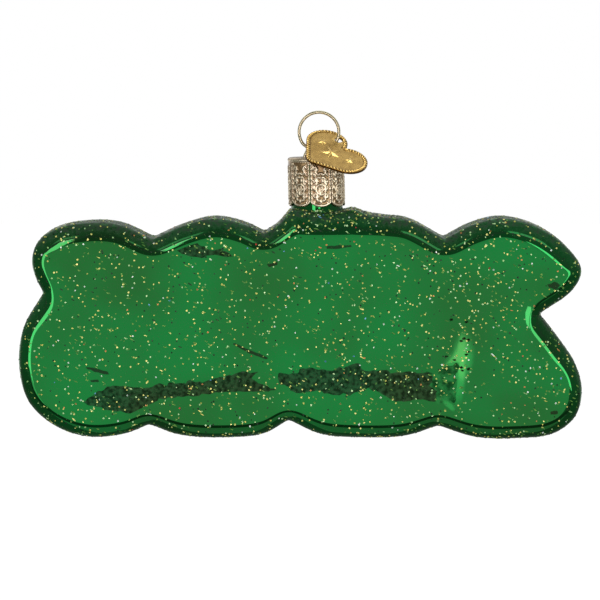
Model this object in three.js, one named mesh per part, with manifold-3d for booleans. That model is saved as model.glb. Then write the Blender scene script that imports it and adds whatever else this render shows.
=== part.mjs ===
// Hanging glass ornament: a hollow mould-blown glass body, a stamped crown cap,
// a spring wire hanger and a heart-shaped tag. Millimetres, +Z up.
// The origin is the inside top of the hanger's loop, where a hook carries the ornament.
// +X runs along the body, and the flat back faces -Y.
import * as THREE from "three";
import { mergeVertices } from "three/addons/utils/BufferGeometryUtils.js";
import Module from "manifold-3d";

const wasm = await Module();
wasm.setup();

// Fits between pieces
const CLEARANCE = 0.3;

// Hanger: one spring wire, bent to an open loop with two legs
const WIRE_DIAMETER = 0.72;
const LOOP_RADIUS = 4.5;
const LOOP_RISE = 5.7;
const LOOP_LEAN = 0.6;
const LEG_SPACING = 5.2;
const LEG_STRAIGHT = 2.6;
const LEG_REACH = 9.4;
const LEG_PLAY = 1.5;
// How a leg flares: shares of its way out and of its way up, from its end to its straight part
const LEG_FLARE = [[1, 0], [0.7, 0.4], [0.15, 0.8], [0, 1]];

// Crown cap: a thin stamped cup with petals, its first slit counted in degrees from the middle of the front
const CAP_DIAMETER = 13.0;
const CAP_HEIGHT = 11.0;
const CAP_WALL = 0.35;
const CAP_RIM_RADIUS = 0.8;
const PETAL_COUNT = 8;
const PETAL_SLIT_WIDTH = 0.4;
const PETAL_SLIT_TOP = 1.6;
const PETAL_SCALLOP = 1.4;
const PETAL_TIP_WIDTH = 0.5;
const FIRST_SLIT_ANGLE = -13.3;

// Glass body: outline, depths measured from the neck's axis, and wall
const BODY_WIDTH = 127.1;
const BODY_HEIGHT = 51.8;
const BACK_DEPTH = 9.0;
const FRONT_BORDER = 5.5;
const PUFF_RISE = 9.5;
const CREASE_RISE = 4.5;
const EDGE_RADIUS = 2.6;
const PUFF_EDGE_REACH = 14.0;
const PUFF_CREASE_REACH = 8.0;
const GLASS_WALL = 1.0;
const NECK_WALL = 1.1;
const NECK_LENGTH = 12.1;
const SHOULDER_RADIUS = 8.4;
const SHOULDER_DROP = 3.0;
const THROAT_MARGIN = 0.6;
const THROAT_DROP = 2.0;

// Heart tag: a thin plate with a raised border, hanging on the loop
const TAG_LOBE_RADIUS = 4.7;
const TAG_LOBE_SPREAD = 3.95;
const TAG_TIP_DROP = 5.83;
const TAG_TIP_RADIUS = 2.26;
const TAG_THICKNESS = 0.4;
const TAG_BORDER_WIDTH = 0.8;
const TAG_BORDER_THICKNESS = 0.6;
const TAG_HOLE_DIAMETER = 2.1;
const TAG_HOLE_X = -3.49;
const TAG_HOLE_Y = 2.95;
const TAG_HOLE_OFFSET = 0.38;
const TAG_STAR_RADIUS = 2.1;
const TAG_STAR_WAIST = 0.9;
const TAG_STAR_HEIGHT = 0.15;
const TAG_WIRE_ANGLE = THREE.MathUtils.degToRad(-25);
const TAG_SLOPE = THREE.MathUtils.degToRad(32.4);
const TAG_ROLL = THREE.MathUtils.degToRad(8.8);
const TAG_TURN = THREE.MathUtils.degToRad(-50.6);

// Mesh fineness
const OUTLINE_SPACING = 2.1;
const INNER_OUTLINE_SPACING = 3.4;
const NECK_SIDES = 32;
const CAP_SIDES = 48;
const HOLE_SIDES = 16;
const ROUND_ANGLES = [0, 30, 60, 90].map(THREE.MathUtils.degToRad);
const FLARE_ANGLES = [0, 22.5, 45, 67.5, 90].map(THREE.MathUtils.degToRad);
const RIM_STEPS = [0.35, 1.2, 2.8];
const FRONT_RING_SHARES = [0.2, 0.42, 0.7];
const WIRE_STEPS = 72;
const WIRE_SIDES = 10;
const LOOP_STEPS = 14;
const TAG_ARC_STEPS = 18;

// Levels and places that follow from the sizes above
const wireRadius = WIRE_DIAMETER / 2;
const loopCentre = -(LOOP_RADIUS - wireRadius);
const capTop = loopCentre - LOOP_RISE;
const capBottom = capTop - CAP_HEIGHT;
const capRadius = CAP_DIAMETER / 2;
const neckTop = capTop - CAP_WALL - CLEARANCE;
const shoulderTop = capBottom - CLEARANCE;
const neckRadius = capRadius - CAP_WALL - CLEARANCE;
const boreRadius = neckRadius - NECK_WALL;
const bodyTop = neckTop - NECK_LENGTH;
const axisX = -LOOP_LEAN;

// The body's outline as read from the front of the flat back, in millimetres to the right of
// the neck's axis and above the shoulders. Each run ends at a sharp notch between two lobes.
const outlineRuns = [
  [[-61.7, -17.6], [-63.4, -14.3], [-64.3, -10.2], [-62.9, -6.0], [-58.9, -3.1], [-51.9, -1.7],
    [-44.6, -2.1], [-37.0, -5.4]],
  [[-37.0, -5.4], [-30.2, -2.4], [-23.0, -0.7], [-15.9, -2.2], [-11.9, -4.2]],
  [[-11.9, -4.2], [-8.6, -1.9], [-6.2, 0.9], [-3.4, 1.2], [0, 0.4], [5.4, 0.7], [8.2, 1.3],
    [11.0, 0.3], [15.0, -0.4], [20.6, -1.1], [28.8, -5.4]],
  [[28.8, -5.4], [34.7, -2.3], [41.5, -0.7], [49.2, -2.4], [56.0, -6.9], [59.7, -12.4], [57.7, -16.9],
    [50.2, -22.3]],
  [[50.2, -22.3], [54.6, -27.9], [58.4, -33.7], [59.9, -39.8], [58.4, -45.6], [53.5, -49.4],
    [44.9, -50.5], [35.8, -50.2], [27.4, -47.6]],
  [[27.4, -47.6], [20.0, -49.9], [9.8, -50.3], [0.8, -49.5], [-6.4, -46.3]],
  [[-6.4, -46.3], [-12.0, -49.4], [-20.7, -50.3], [-31.0, -49.7], [-37.9, -47.3]],
  [[-37.9, -47.3], [-43.6, -49.5], [-52.0, -50.1], [-59.5, -47.5], [-65.2, -42.1], [-67.3, -34.0],
    [-66.2, -25.3], [-61.7, -17.6]],
];
// Creases on the puffed front, each from one place on the outline to another
const creaseLines = [
  [[-37.0, -5.4], [-37.9, -47.3]],
  [[-11.9, -4.2], [-6.4, -46.3]],
  [[28.8, -5.4], [27.4, -47.6]],
  [[-61.7, -17.6], [-37.4, -24.0]],
  [[50.2, -22.3], [28.1, -26.0]],
];
// The middle line towards which the front's rings shrink, and how close to it the last ones come
const SPINE = { left: -50, right: 38, level: -24 };
const HUB_RADII = [4.5, 1.5];

const drawnBox = new THREE.Box2().setFromPoints(outlineRuns.flat().map(([x, z]) => new THREE.Vector2(x, z)));
const drawnSize = drawnBox.getSize(new THREE.Vector2());
const place = ([x, z]) => new THREE.Vector2(
  axisX + (x * BODY_WIDTH) / drawnSize.x,
  bodyTop + (z * BODY_HEIGHT) / drawnSize.y,
);

// Closed solids

// Returns the solid that a closed geometry bounds, with shared corners merged.
function solidOf(geometry) {
  const bare = geometry.index ? geometry.toNonIndexed() : geometry.clone();
  bare.deleteAttribute("normal");
  bare.deleteAttribute("uv");
  const merged = mergeVertices(bare, 1e-4);
  const corners = [];
  for (let i = 0; i < merged.index.count; i += 3) {
    const [a, b, c] = [0, 1, 2].map((k) => merged.index.getX(i + k));
    if (a !== b && b !== c && c !== a) corners.push(a, b, c);
  }
  return new wasm.Manifold(new wasm.Mesh({
    numProp: 3,
    vertProperties: new Float32Array(merged.attributes.position.array),
    triVerts: new Uint32Array(corners),
  }));
}

// Returns a flat-shaded geometry of a solid.
function geometryOf(solid) {
  const mesh = solid.getMesh();
  const geometry = new THREE.BufferGeometry();
  geometry.setAttribute("position", new THREE.BufferAttribute(new Float32Array(mesh.vertProperties), 3));
  geometry.setIndex(new THREE.BufferAttribute(new Uint32Array(mesh.triVerts), 1));
  geometry.computeVertexNormals();
  return geometry;
}

// Returns a solid of revolution about +Z from a profile of [radius, z] pairs.
function turned(profile, sides) {
  const lathe = new THREE.LatheGeometry(profile.map(([r, z]) => new THREE.Vector2(r, z)), sides);
  lathe.rotateX(Math.PI / 2);
  return solidOf(lathe);
}

// Returns an extrusion of a shape drawn in XY, centred on z = 0.
function plate(shape, thickness, arcSteps) {
  const settings = { depth: thickness, bevelEnabled: false, curveSegments: arcSteps / 2 };
  const geometry = new THREE.ExtrudeGeometry(shape, settings);
  geometry.translate(0, 0, -thickness / 2);
  return solidOf(geometry);
}

// Outline of the glass body

// Returns the closed outline, clockwise as drawn, with points about one spacing apart.
function outlineLoop(spacing) {
  const loop = [];
  for (const run of outlineRuns) {
    const corners = run.map(place).map((p) => new THREE.Vector3(p.x, p.y, 0));
    const curve = new THREE.CatmullRomCurve3(corners, false, "centripetal");
    const count = Math.max(3, Math.round(curve.getLength() / spacing));
    for (const p of curve.getSpacedPoints(count).slice(0, -1)) loop.push(new THREE.Vector2(p.x, p.y));
  }
  return loop;
}

// Returns the loop moved inwards by a distance, point for point.
function inset(loop, distance) {
  return loop.map((point, i) => {
    const before = loop[(i + loop.length - 1) % loop.length];
    const after = loop[(i + 1) % loop.length];
    const ahead = after.clone().sub(point).normalize();
    const behind = point.clone().sub(before).normalize();
    const along = ahead.add(behind).normalize();
    return point.clone().add(new THREE.Vector2(along.y, -along.x).multiplyScalar(distance));
  });
}

// Distance from a point to a set of segments, rounded off where several are near:
// the inverse square is the integral of the inverse cube along the segments.
function softDistance(point, segments) {
  let total = 0;
  for (const [from, to] of segments) {
    const along = to.clone().sub(from);
    const length = along.length();
    const toPoint = point.clone().sub(from);
    const start = toPoint.dot(along) / length;
    const off = Math.max(Math.abs(toPoint.cross(along)) / length, 1e-3);
    const term = (s) => s / (off * off * Math.hypot(off, s));
    total += term(length - start) + term(start);
  }
  return Math.sqrt(2 / total);
}

const borderLoop = outlineLoop(OUTLINE_SPACING);
const borderSegments = borderLoop.map((p, i) => [p, borderLoop[(i + 1) % borderLoop.length]]);
const creaseSegments = creaseLines.map((line) => line.map(place));
const fade = (share) => (1 - THREE.MathUtils.clamp(share, 0, 1)) ** 2;

// Depth of the puffed front at a point, for the outer face or for one a wall further in.
function frontDepth(point, wall) {
  const edge = Math.sqrt(1 - fade((softDistance(point, borderSegments) - wall) / PUFF_EDGE_REACH));
  const crease = 1 - fade(softDistance(point, creaseSegments) / PUFF_CREASE_REACH);
  return FRONT_BORDER - wall + edge * (CREASE_RISE + (PUFF_RISE - CREASE_RISE) * crease);
}

// Returns the triangles that fill a slim clockwise loop, from its left end to its right end.
function acrossLoop(loop) {
  const at = (i) => (i + loop.length) % loop.length;
  const left = loop.reduce((best, p, i) => (p.x < loop[best].x ? i : best), 0);
  let upper = left + 1;
  let lower = left + loop.length - 1;
  const corners = [left, upper, lower];
  while (lower - upper > 1) {
    if (loop[at(upper + 1)].x <= loop[at(lower - 1)].x || lower - upper === 2) {
      corners.push(upper, upper + 1, lower);
      upper += 1;
    } else {
      corners.push(upper, lower - 1, lower);
      lower -= 1;
    }
  }
  return corners.map(at);
}

// Returns the solid inside the skin that lies one wall in from the outer face.
function puffedSlab(spacing, wall) {
  const outline = outlineLoop(spacing);
  const back = -BACK_DEPTH + wall;
  const round = EDGE_RADIUS - wall / 2;
  const rings = ROUND_ANGLES.map((angle) => ({
    loop: inset(outline, wall + round * (1 - Math.sin(angle))),
    depth: () => back + round * (1 - Math.cos(angle)),
  }));
  rings.push({ loop: inset(outline, wall), depth: () => FRONT_BORDER - wall });
  for (const step of RIM_STEPS) {
    rings.push({ loop: inset(outline, wall + step), depth: (p) => frontDepth(p, wall) });
  }
  const rim = rings.at(-1).loop;
  const ends = [place([SPINE.left, SPINE.level]), place([SPINE.right, SPINE.level])];
  const towards = (p, radius) => {
    const onSpine = new THREE.Vector2(THREE.MathUtils.clamp(p.x, ends[0].x, ends[1].x), ends[0].y);
    return p.clone().sub(onSpine).setLength(radius).add(onSpine);
  };
  const frontRing = (loop) => rings.push({ loop, depth: (p) => frontDepth(p, wall) });
  for (const share of FRONT_RING_SHARES) {
    frontRing(rim.map((p) => p.clone().lerp(towards(p, HUB_RADII[0]), share)));
  }
  for (const radius of HUB_RADII) frontRing(rim.map((p) => towards(p, radius)));
  const count = outline.length;
  const vertices = rings.flatMap(({ loop, depth }) => loop.flatMap((p) => [p.x, depth(p), p.y]));
  const faces = [];
  for (let ring = 0; ring + 1 < rings.length; ring += 1) {
    for (let i = 0; i < count; i += 1) {
      const next = (i + 1) % count;
      const [a, b] = [ring * count + i, ring * count + next];
      const [c, d] = [a + count, b + count];
      faces.push(a, b, d, a, d, c);
    }
  }
  for (const [a, b, c] of THREE.ShapeUtils.triangulateShape(rings[0].loop, [])) faces.push(a, b, c);
  faces.push(...acrossLoop(rings.at(-1).loop).map((i) => i + (rings.length - 1) * count));
  const geometry = new THREE.BufferGeometry();
  geometry.setAttribute("position", new THREE.Float32BufferAttribute(vertices, 3));
  geometry.setIndex(faces);
  return solidOf(geometry);
}

// Returns the profile of the neck and its flared shoulder, from the top down to inside the body.
function neckProfile(radius, flareRadius, top) {
  const flare = FLARE_ANGLES.map((angle) => [
    radius + (flareRadius - radius) * (1 - Math.cos(angle)),
    shoulderTop - SHOULDER_DROP * Math.sin(angle),
  ]);
  const foot = flare.at(-1)[1] - SHOULDER_DROP;
  return [[0, foot], [flareRadius, foot], ...flare.reverse(), [radius, top], [0, top]];
}

// Returns the whole blown shell: the puffed body with its flared shoulder and open neck.
function glassShell() {
  const neck = turned(neckProfile(neckRadius, SHOULDER_RADIUS, neckTop), NECK_SIDES);
  const boreFlare = SHOULDER_RADIUS - NECK_WALL;
  const bore = turned(neckProfile(boreRadius, boreFlare, neckTop + CLEARANCE), NECK_SIDES);
  const outside = puffedSlab(OUTLINE_SPACING, 0).add(neck.translate([axisX, 0, 0]));
  const inside = puffedSlab(INNER_OUTLINE_SPACING, GLASS_WALL).add(bore.translate([axisX, 0, 0]));
  return outside.subtract(inside);
}

// Returns the space of the throat: the neck, its shoulder and the top of the body close around it.
function throatSpace() {
  const height = NECK_LENGTH + THROAT_DROP + CLEARANCE;
  const width = 2 * (SHOULDER_RADIUS + THROAT_MARGIN);
  const depth = 4 * (FRONT_BORDER + PUFF_RISE);
  const block = new THREE.BoxGeometry(width, depth, height);
  block.translate(axisX, 0, bodyTop - THROAT_DROP + height / 2);
  return solidOf(block);
}

// Crown cap

// Returns the gap between two petals as a shape: a slit that opens out round the petals' ends.
function petalGap() {
  const halfPitch = capRadius * Math.sin(Math.PI / PETAL_COUNT);
  const halfSlit = PETAL_SLIT_WIDTH / 2;
  const roundWidth = halfPitch - halfSlit - PETAL_TIP_WIDTH / 2;
  const roundLevel = -CAP_HEIGHT + PETAL_SCALLOP;
  const shape = new THREE.Shape();
  shape.moveTo(halfSlit, -PETAL_SLIT_TOP);
  shape.lineTo(-halfSlit, -PETAL_SLIT_TOP);
  shape.lineTo(-halfSlit, roundLevel);
  shape.absellipse(-halfSlit - roundWidth, roundLevel, roundWidth, PETAL_SCALLOP, 0, -Math.PI / 2, true);
  shape.lineTo(-halfSlit - roundWidth, -CAP_HEIGHT - CLEARANCE);
  shape.lineTo(halfSlit + roundWidth, -CAP_HEIGHT - CLEARANCE);
  shape.absellipse(halfSlit + roundWidth, roundLevel, roundWidth, PETAL_SCALLOP, -Math.PI / 2, -Math.PI, true);
  return shape;
}

function crownCap() {
  const rim = (radius, round) => ROUND_ANGLES.map((angle) => [
    radius - round * (1 - Math.cos(angle)),
    -CAP_RIM_RADIUS + round * Math.sin(angle),
  ]);
  const inner = rim(capRadius - CAP_WALL, CAP_RIM_RADIUS - CAP_WALL);
  const profile = [[0, -CAP_WALL], ...inner.reverse(), [capRadius - CAP_WALL, -CAP_HEIGHT],
    [capRadius, -CAP_HEIGHT], ...rim(capRadius, CAP_RIM_RADIUS), [0, 0]];
  let cap = turned(profile, CAP_SIDES);
  const gap = new THREE.ExtrudeGeometry(petalGap(), { depth: capRadius, bevelEnabled: false, curveSegments: 5 });
  gap.rotateX(Math.PI / 2);
  gap.translate(0, -capRadius / 2, 0);
  const gapSolid = solidOf(gap);
  for (let i = 0; i < PETAL_COUNT; i += 1) {
    cap = cap.subtract(gapSolid.rotate([0, 0, FIRST_SLIT_ANGLE + (i * 360) / PETAL_COUNT]));
  }
  const holeRadius = wireRadius + CLEARANCE;
  for (const side of [-1, 1]) {
    const drill = new THREE.CylinderGeometry(holeRadius, holeRadius, 4 * CAP_WALL, HOLE_SIDES);
    drill.rotateX(Math.PI / 2);
    drill.translate((side * LEG_SPACING) / 2, 0, 0);
    cap = cap.subtract(solidOf(drill));
  }
  return geometryOf(cap);
}

// Hanger: left leg up through the cap, round the loop and down the right leg
function hangerWire() {
  const disc = capTop - CAP_WALL;
  const legX = LEG_SPACING / 2;
  const endX = boreRadius - CLEARANCE - wireRadius;
  const flareTop = disc - LEG_STRAIGHT;
  const flareBottom = disc - LEG_REACH;
  const leg = [
    ...LEG_FLARE.map(([out, up]) => [
      THREE.MathUtils.lerp(legX, endX, out),
      THREE.MathUtils.lerp(flareBottom, flareTop, up),
    ]),
    [legX, disc - LEG_PLAY],
    [legX, disc],
    [legX, capTop + CLEARANCE],
  ];
  const lowest = Math.acos(Math.min(legX / LOOP_RADIUS, 1));
  const loop = [];
  for (let i = 0; i <= LOOP_STEPS; i += 1) {
    const angle = Math.PI + lowest - (i * (Math.PI + 2 * lowest)) / LOOP_STEPS;
    loop.push(new THREE.Vector3(LOOP_RADIUS * Math.cos(angle), 0, loopCentre + LOOP_RADIUS * Math.sin(angle)));
  }
  const points = [
    ...leg.map(([x, z]) => new THREE.Vector3(axisX - x, 0, z)),
    ...loop,
    ...leg.reverse().map(([x, z]) => new THREE.Vector3(axisX + x, 0, z)),
  ];
  const section = new THREE.Shape().absarc(0, 0, wireRadius, 0, 2 * Math.PI);
  const geometry = new THREE.ExtrudeGeometry(section, {
    steps: WIRE_STEPS,
    curveSegments: WIRE_SIDES / 2,
    extrudePath: new THREE.CatmullRomCurve3(points, false, "centripetal"),
  });
  return geometryOf(solidOf(geometry));
}

// Heart tag

// Returns the heart's outline, or the line that lies a margin inside it.
function heartShape(margin) {
  const lobe = TAG_LOBE_RADIUS - margin;
  const tip = TAG_TIP_RADIUS - margin;
  const reach = Math.hypot(TAG_LOBE_SPREAD, TAG_TIP_DROP);
  const side = Math.atan2(TAG_TIP_DROP, TAG_LOBE_SPREAD) - Math.acos((tip - lobe) / reach);
  const notch = Math.acos(-TAG_LOBE_SPREAD / TAG_LOBE_RADIUS);
  const notchLevel = TAG_LOBE_RADIUS * Math.sin(notch);
  const shape = new THREE.Shape();
  shape.absarc(0, -TAG_TIP_DROP, tip, Math.PI - side, 2 * Math.PI + side, false);
  shape.absarc(TAG_LOBE_SPREAD, 0, lobe, side, notch, false);
  if (margin > 0) shape.absarc(0, notchLevel, margin, notch - Math.PI, -notch, true);
  shape.absarc(-TAG_LOBE_SPREAD, 0, lobe, Math.PI - notch, Math.PI - side, false);
  return shape;
}

// Returns a five-pointed star about the origin.
function starShape(radius, waist) {
  const corners = [];
  for (let i = 0; i < 10; i += 1) {
    const angle = Math.PI / 2 + (i * Math.PI) / 5;
    const r = i % 2 ? waist : radius;
    corners.push(new THREE.Vector2(r * Math.cos(angle), r * Math.sin(angle)));
  }
  return new THREE.Shape(corners);
}

function heartTag() {
  const border = heartShape(0);
  border.holes.push(heartShape(TAG_BORDER_WIDTH));
  const starLevel = TAG_THICKNESS / 2 + TAG_STAR_HEIGHT / 2;
  const star = plate(starShape(TAG_STAR_RADIUS, TAG_STAR_WAIST), TAG_STAR_HEIGHT + TAG_THICKNESS / 4, 2)
    .translate([0, -TAG_TIP_DROP / 4, starLevel - TAG_THICKNESS / 8]);
  const holeShape = new THREE.Shape().absarc(TAG_HOLE_X, TAG_HOLE_Y, TAG_HOLE_DIAMETER / 2, 0, 2 * Math.PI);
  const hole = plate(holeShape, 2 * TAG_BORDER_THICKNESS, TAG_ARC_STEPS);
  return geometryOf(plate(heartShape(0), TAG_THICKNESS, TAG_ARC_STEPS)
    .add(plate(border, TAG_BORDER_THICKNESS, TAG_ARC_STEPS))
    .add(star)
    .subtract(hole));
}

// Finishes
const finishes = {
  glass: new THREE.MeshStandardMaterial({ color: 0x18763a, roughness: 0.18, metalness: 0.8 }),
  cap: new THREE.MeshStandardMaterial({ color: 0xc9ad7a, roughness: 0.28, metalness: 1.0 }),
  wire: new THREE.MeshStandardMaterial({ color: 0xc8b996, roughness: 0.3, metalness: 1.0 }),
  tag: new THREE.MeshStandardMaterial({ color: 0xb98f4a, roughness: 0.35, metalness: 1.0 }),
};

// Returns a named piece of the ornament.
function piece(name, geometry, material) {
  const mesh = new THREE.Mesh(geometry, material);
  mesh.name = name;
  return mesh;
}

// The tag hangs on the wire at a point of the loop. Its hole lies off the wire, to the right in the tag's plane.
function tagOnLoop() {
  const tag = piece("heart_tag", heartTag(), finishes.tag);
  tag.rotation.set(TAG_SLOPE, TAG_ROLL, TAG_TURN, "YXZ");
  const wirePoint = new THREE.Vector3(
    LOOP_RADIUS * Math.cos(TAG_WIRE_ANGLE),
    0,
    loopCentre + LOOP_RADIUS * Math.sin(TAG_WIRE_ANGLE),
  );
  const tagAcross = new THREE.Vector3(1, 0, 0).applyEuler(new THREE.Euler(TAG_SLOPE, TAG_ROLL, 0, "YXZ"));
  const hole = new THREE.Vector3(TAG_HOLE_X, TAG_HOLE_Y, 0).applyEuler(tag.rotation);
  tag.position.copy(wirePoint).addScaledVector(tagAcross, TAG_HOLE_OFFSET).sub(hole);
  return tag;
}

// The glass is blown in one. Its throat is a piece of its own, face to face with the rest of the body.
const shell = glassShell();
const throat = throatSpace();

const ornament = new THREE.Group();
const cap = piece("cap", crownCap(), finishes.cap);
cap.position.set(axisX, 0, capTop);
ornament.add(
  piece("glass_body", geometryOf(shell.subtract(throat)), finishes.glass),
  piece("glass_neck", geometryOf(shell.intersect(throat)), finishes.glass),
  cap,
  piece("hanger", hangerWire(), finishes.wire),
  tagOnLoop(),
);

export default ornament;
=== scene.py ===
"""Looks of a hanging glass ornament: mould-blown body, crown cap, wire hanger and heart tag.

The body is glass, silvered inside, lacquered green and dusted with glitter. Its flat back
faces -Y and its puffed front faces +Y. The origin is the inside top of the hanger's loop.
Sizes are millimetres in the classes, and meshes are made in metres in the part's own frame.
"""

import logging
import math
from dataclasses import dataclass
from enum import Enum
from typing import Optional, Sequence, Union

import bmesh
import bpy
import numpy as np
from mathutils import Matrix, Vector
from mathutils.geometry import delaunay_2d_cdt


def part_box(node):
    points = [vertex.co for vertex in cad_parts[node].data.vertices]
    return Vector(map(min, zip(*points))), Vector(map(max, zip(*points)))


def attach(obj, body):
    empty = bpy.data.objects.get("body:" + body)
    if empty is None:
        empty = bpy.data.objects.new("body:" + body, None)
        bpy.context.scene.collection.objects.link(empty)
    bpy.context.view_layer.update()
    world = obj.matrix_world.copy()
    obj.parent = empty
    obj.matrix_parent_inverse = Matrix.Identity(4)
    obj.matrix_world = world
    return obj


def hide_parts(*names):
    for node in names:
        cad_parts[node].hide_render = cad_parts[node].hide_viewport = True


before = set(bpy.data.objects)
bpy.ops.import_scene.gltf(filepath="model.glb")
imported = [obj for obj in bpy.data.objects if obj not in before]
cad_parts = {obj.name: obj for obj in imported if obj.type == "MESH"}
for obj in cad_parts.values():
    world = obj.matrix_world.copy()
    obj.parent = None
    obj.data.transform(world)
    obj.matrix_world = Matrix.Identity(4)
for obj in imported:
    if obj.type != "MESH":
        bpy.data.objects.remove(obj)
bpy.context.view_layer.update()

MM = 0.001
log = logging.getLogger("ornament")

Colour = tuple[float, float, float]
Point = tuple[float, float]
Face = tuple[int, ...]
Direction = tuple[float, float, float]
Socket = bpy.types.NodeSocket
Tone = Union[Colour, Socket]

# Millimetres that several pieces share
WIRE = 0.72
LOOP_RADIUS = 4.5
LEG_SPACING = 5.2
CAP_WALL = 0.35
NECK_WALL = 1.1
CLEARANCE = 0.3
MIDDLE_X = -4.3
# Corners closer than this are one
CLOSE_MM = 1e-6
# Distances are never taken as less than this
LEAST_GAP_MM = 1e-3
WHITE: Colour = (1.0, 1.0, 1.0)
# Where most of a cloudy pattern's values lie
CLOUD_RANGE: Point = (0.3, 0.7)


def box_mm(node: str) -> tuple[Vector, Vector]:
    """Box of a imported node.

    Args:
        node: Name of the node.

    Returns:
        Its lowest and highest corners in millimetres.
    """
    low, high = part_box(node)
    return low / MM, high / MM


def smooth_step(value: np.ndarray, low: float, high: float) -> np.ndarray:
    """Soft step from 0 at low to 1 at high.

    Args:
        value: Numbers to map.
        low: Value where the step starts.
        high: Value where the step ends.

    Returns:
        Numbers from 0 to 1.
    """
    share = np.clip((value - low) / (high - low), 0.0, 1.0)
    return share * share * (3.0 - 2.0 * share)


def ridge(distance: np.ndarray, width: float) -> np.ndarray:
    """Returns a soft ridge of height 1 at distances from its middle line."""
    return np.exp(-((distance / width) ** 2))


def unit_rows(rows: np.ndarray) -> np.ndarray:
    """Returns rows scaled to a length of 1."""
    return rows / np.linalg.norm(rows, axis=1)[:, None]


def lengths_along(path: np.ndarray) -> np.ndarray:
    """Returns the length along a path from its start to each of its points."""
    return np.concatenate([[0], np.cumsum(np.linalg.norm(np.diff(path, axis=0), axis=1))])


def at_places(path: np.ndarray, known: np.ndarray, wanted: np.ndarray) -> np.ndarray:
    """Points between those of a flat path.

    Args:
        path: Rows of two numbers.
        known: Place of each row along the path.
        wanted: Places of the wanted points.

    Returns:
        Rows of two numbers.
    """
    return np.column_stack([np.interp(wanted, known, path[:, k]) for k in (0, 1)])


def eased(loop: np.ndarray, passes: int) -> np.ndarray:
    """Closed loop with each point drawn towards its two neighbours.

    Args:
        loop: Rows of numbers.
        passes: How often the points are drawn.

    Returns:
        The eased rows.
    """
    for _ in range(passes):
        loop = (np.roll(loop, 1, axis=0) + loop + np.roll(loop, -1, axis=0)) / 3
    return loop


def circle_angles(count: int) -> np.ndarray:
    """Returns even angles once round a circle."""
    return np.arange(count) * 2 * math.pi / count


def curve_through(points: Sequence[Point], per_span: int = 40) -> np.ndarray:
    """Smooth centripetal curve through points.

    Args:
        points: Points on the curve, from end to end.
        per_span: Steps between two of them.

    Returns:
        Array of points on the curve.
    """
    given = np.array(points, float)
    held = np.vstack([2 * given[0] - given[1], given, 2 * given[-1] - given[-2]])
    share = np.linspace(0, 1, per_span, endpoint=False)[:, None]
    parts = []
    for a, b, c, d in zip(held, held[1:], held[2:], held[3:]):
        before, span, after = (math.sqrt(np.linalg.norm(v)) for v in (b - a, c - b, d - c))
        leave = span * ((b - a) / before - (c - a) / (before + span) + (c - b) / span)
        arrive = span * ((c - b) / span - (d - b) / (span + after) + (d - c) / after)
        parts.append(
            (2 * share**3 - 3 * share**2 + 1) * b
            + (share**3 - 2 * share**2 + share) * leave
            + (3 * share**2 - 2 * share**3) * c
            + (share**3 - share**2) * arrive
        )
    return np.vstack([*parts, given[-1:]])


def mesh_piece(
    name: str, vertices: np.ndarray, faces: Sequence[Sequence[int]], smooth: bool = True
) -> bpy.types.Object:
    """Object from vertices in millimetres.

    Args:
        name: Name of the object.
        vertices: Array of corners.
        faces: Corner numbers of each face.
        smooth: Whether the surface is shaded smooth.

    Returns:
        The new object, linked to the scene.
    """
    mesh = bpy.data.meshes.new(name)
    mesh.from_pydata((np.asarray(vertices, float) * MM).tolist(), [], [list(f) for f in faces])
    mesh.update()
    if smooth:
        mesh.shade_smooth()
    piece = bpy.data.objects.new(name, mesh)
    bpy.context.scene.collection.objects.link(piece)
    return piece


def ring_faces(count: int, rings: int, closed: bool = True) -> list[Face]:
    """Quads between rings of corners that follow each other.

    Args:
        count: Corners in each ring.
        rings: Number of rings.
        closed: Whether each ring closes on itself.

    Returns:
        List of quads.
    """
    faces = []
    for start in range(0, (rings - 1) * count, count):
        for i in range(count if closed else count - 1):
            a, b = start + i, start + (i + 1) % count
            faces.append((a, b, b + count, a + count))
    return faces


def tube_faces(count: int, rings: int) -> list[Face]:
    """Faces of a tube that is shut at both ends.

    Args:
        count: Corners in each ring.
        rings: Number of rings.

    Returns:
        Quads between the rings, and then the first and the last end.
    """
    first = tuple(range(count))
    last = tuple((rings - 1) * count + i for i in first)
    return [*ring_faces(count, rings), first[::-1], last]


def open_edges(faces: Sequence[Face]) -> list[tuple[int, int]]:
    """Edges that only one face has.

    Args:
        faces: Corner numbers of each face.

    Returns:
        Corner numbers of each open edge, in the direction of its face.
    """
    edges = dict.fromkeys((a, b) for face in faces for a, b in zip(face, face[1:] + face[:1]))
    return [(a, b) for a, b in edges if (b, a) not in edges]


def loop_edges(count: int, first: int = 0) -> list[tuple[int, int]]:
    """Returns the edges of a closed loop of corners that are numbered in turn."""
    return [(first + i, first + (i + 1) % count) for i in range(count)]


def renumbered(faces: Sequence[Face]) -> tuple[list[int], list[Face]]:
    """Leaves out the corners that no face uses.

    Args:
        faces: Corner numbers of each face.

    Returns:
        The numbers of the corners that stay, and the faces in their new numbers.
    """
    used = sorted({i for face in faces for i in face})
    new_number = {old: new for new, old in enumerate(used)}
    return used, [tuple(new_number[i] for i in face) for face in faces]


def set_attribute(piece: bpy.types.Object, name: str, values: np.ndarray) -> None:
    """Writes one number for each corner of a mesh.

    Args:
        piece: Object to write to.
        name: Name of the attribute.
        values: One number for each corner.
    """
    attribute = piece.data.attributes.new(name, "FLOAT", "POINT")
    attribute.data.foreach_set("value", np.asarray(values, np.float32))


def apply_modifiers(piece: bpy.types.Object) -> None:
    """Turns a piece's modifiers into its mesh.

    Args:
        piece: Object whose modifiers are applied.
    """
    graph = bpy.context.evaluated_depsgraph_get()
    made = bpy.data.meshes.new_from_object(piece.evaluated_get(graph), depsgraph=graph)
    old = piece.data
    piece.modifiers.clear()
    piece.data = made
    bpy.data.meshes.remove(old)


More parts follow.
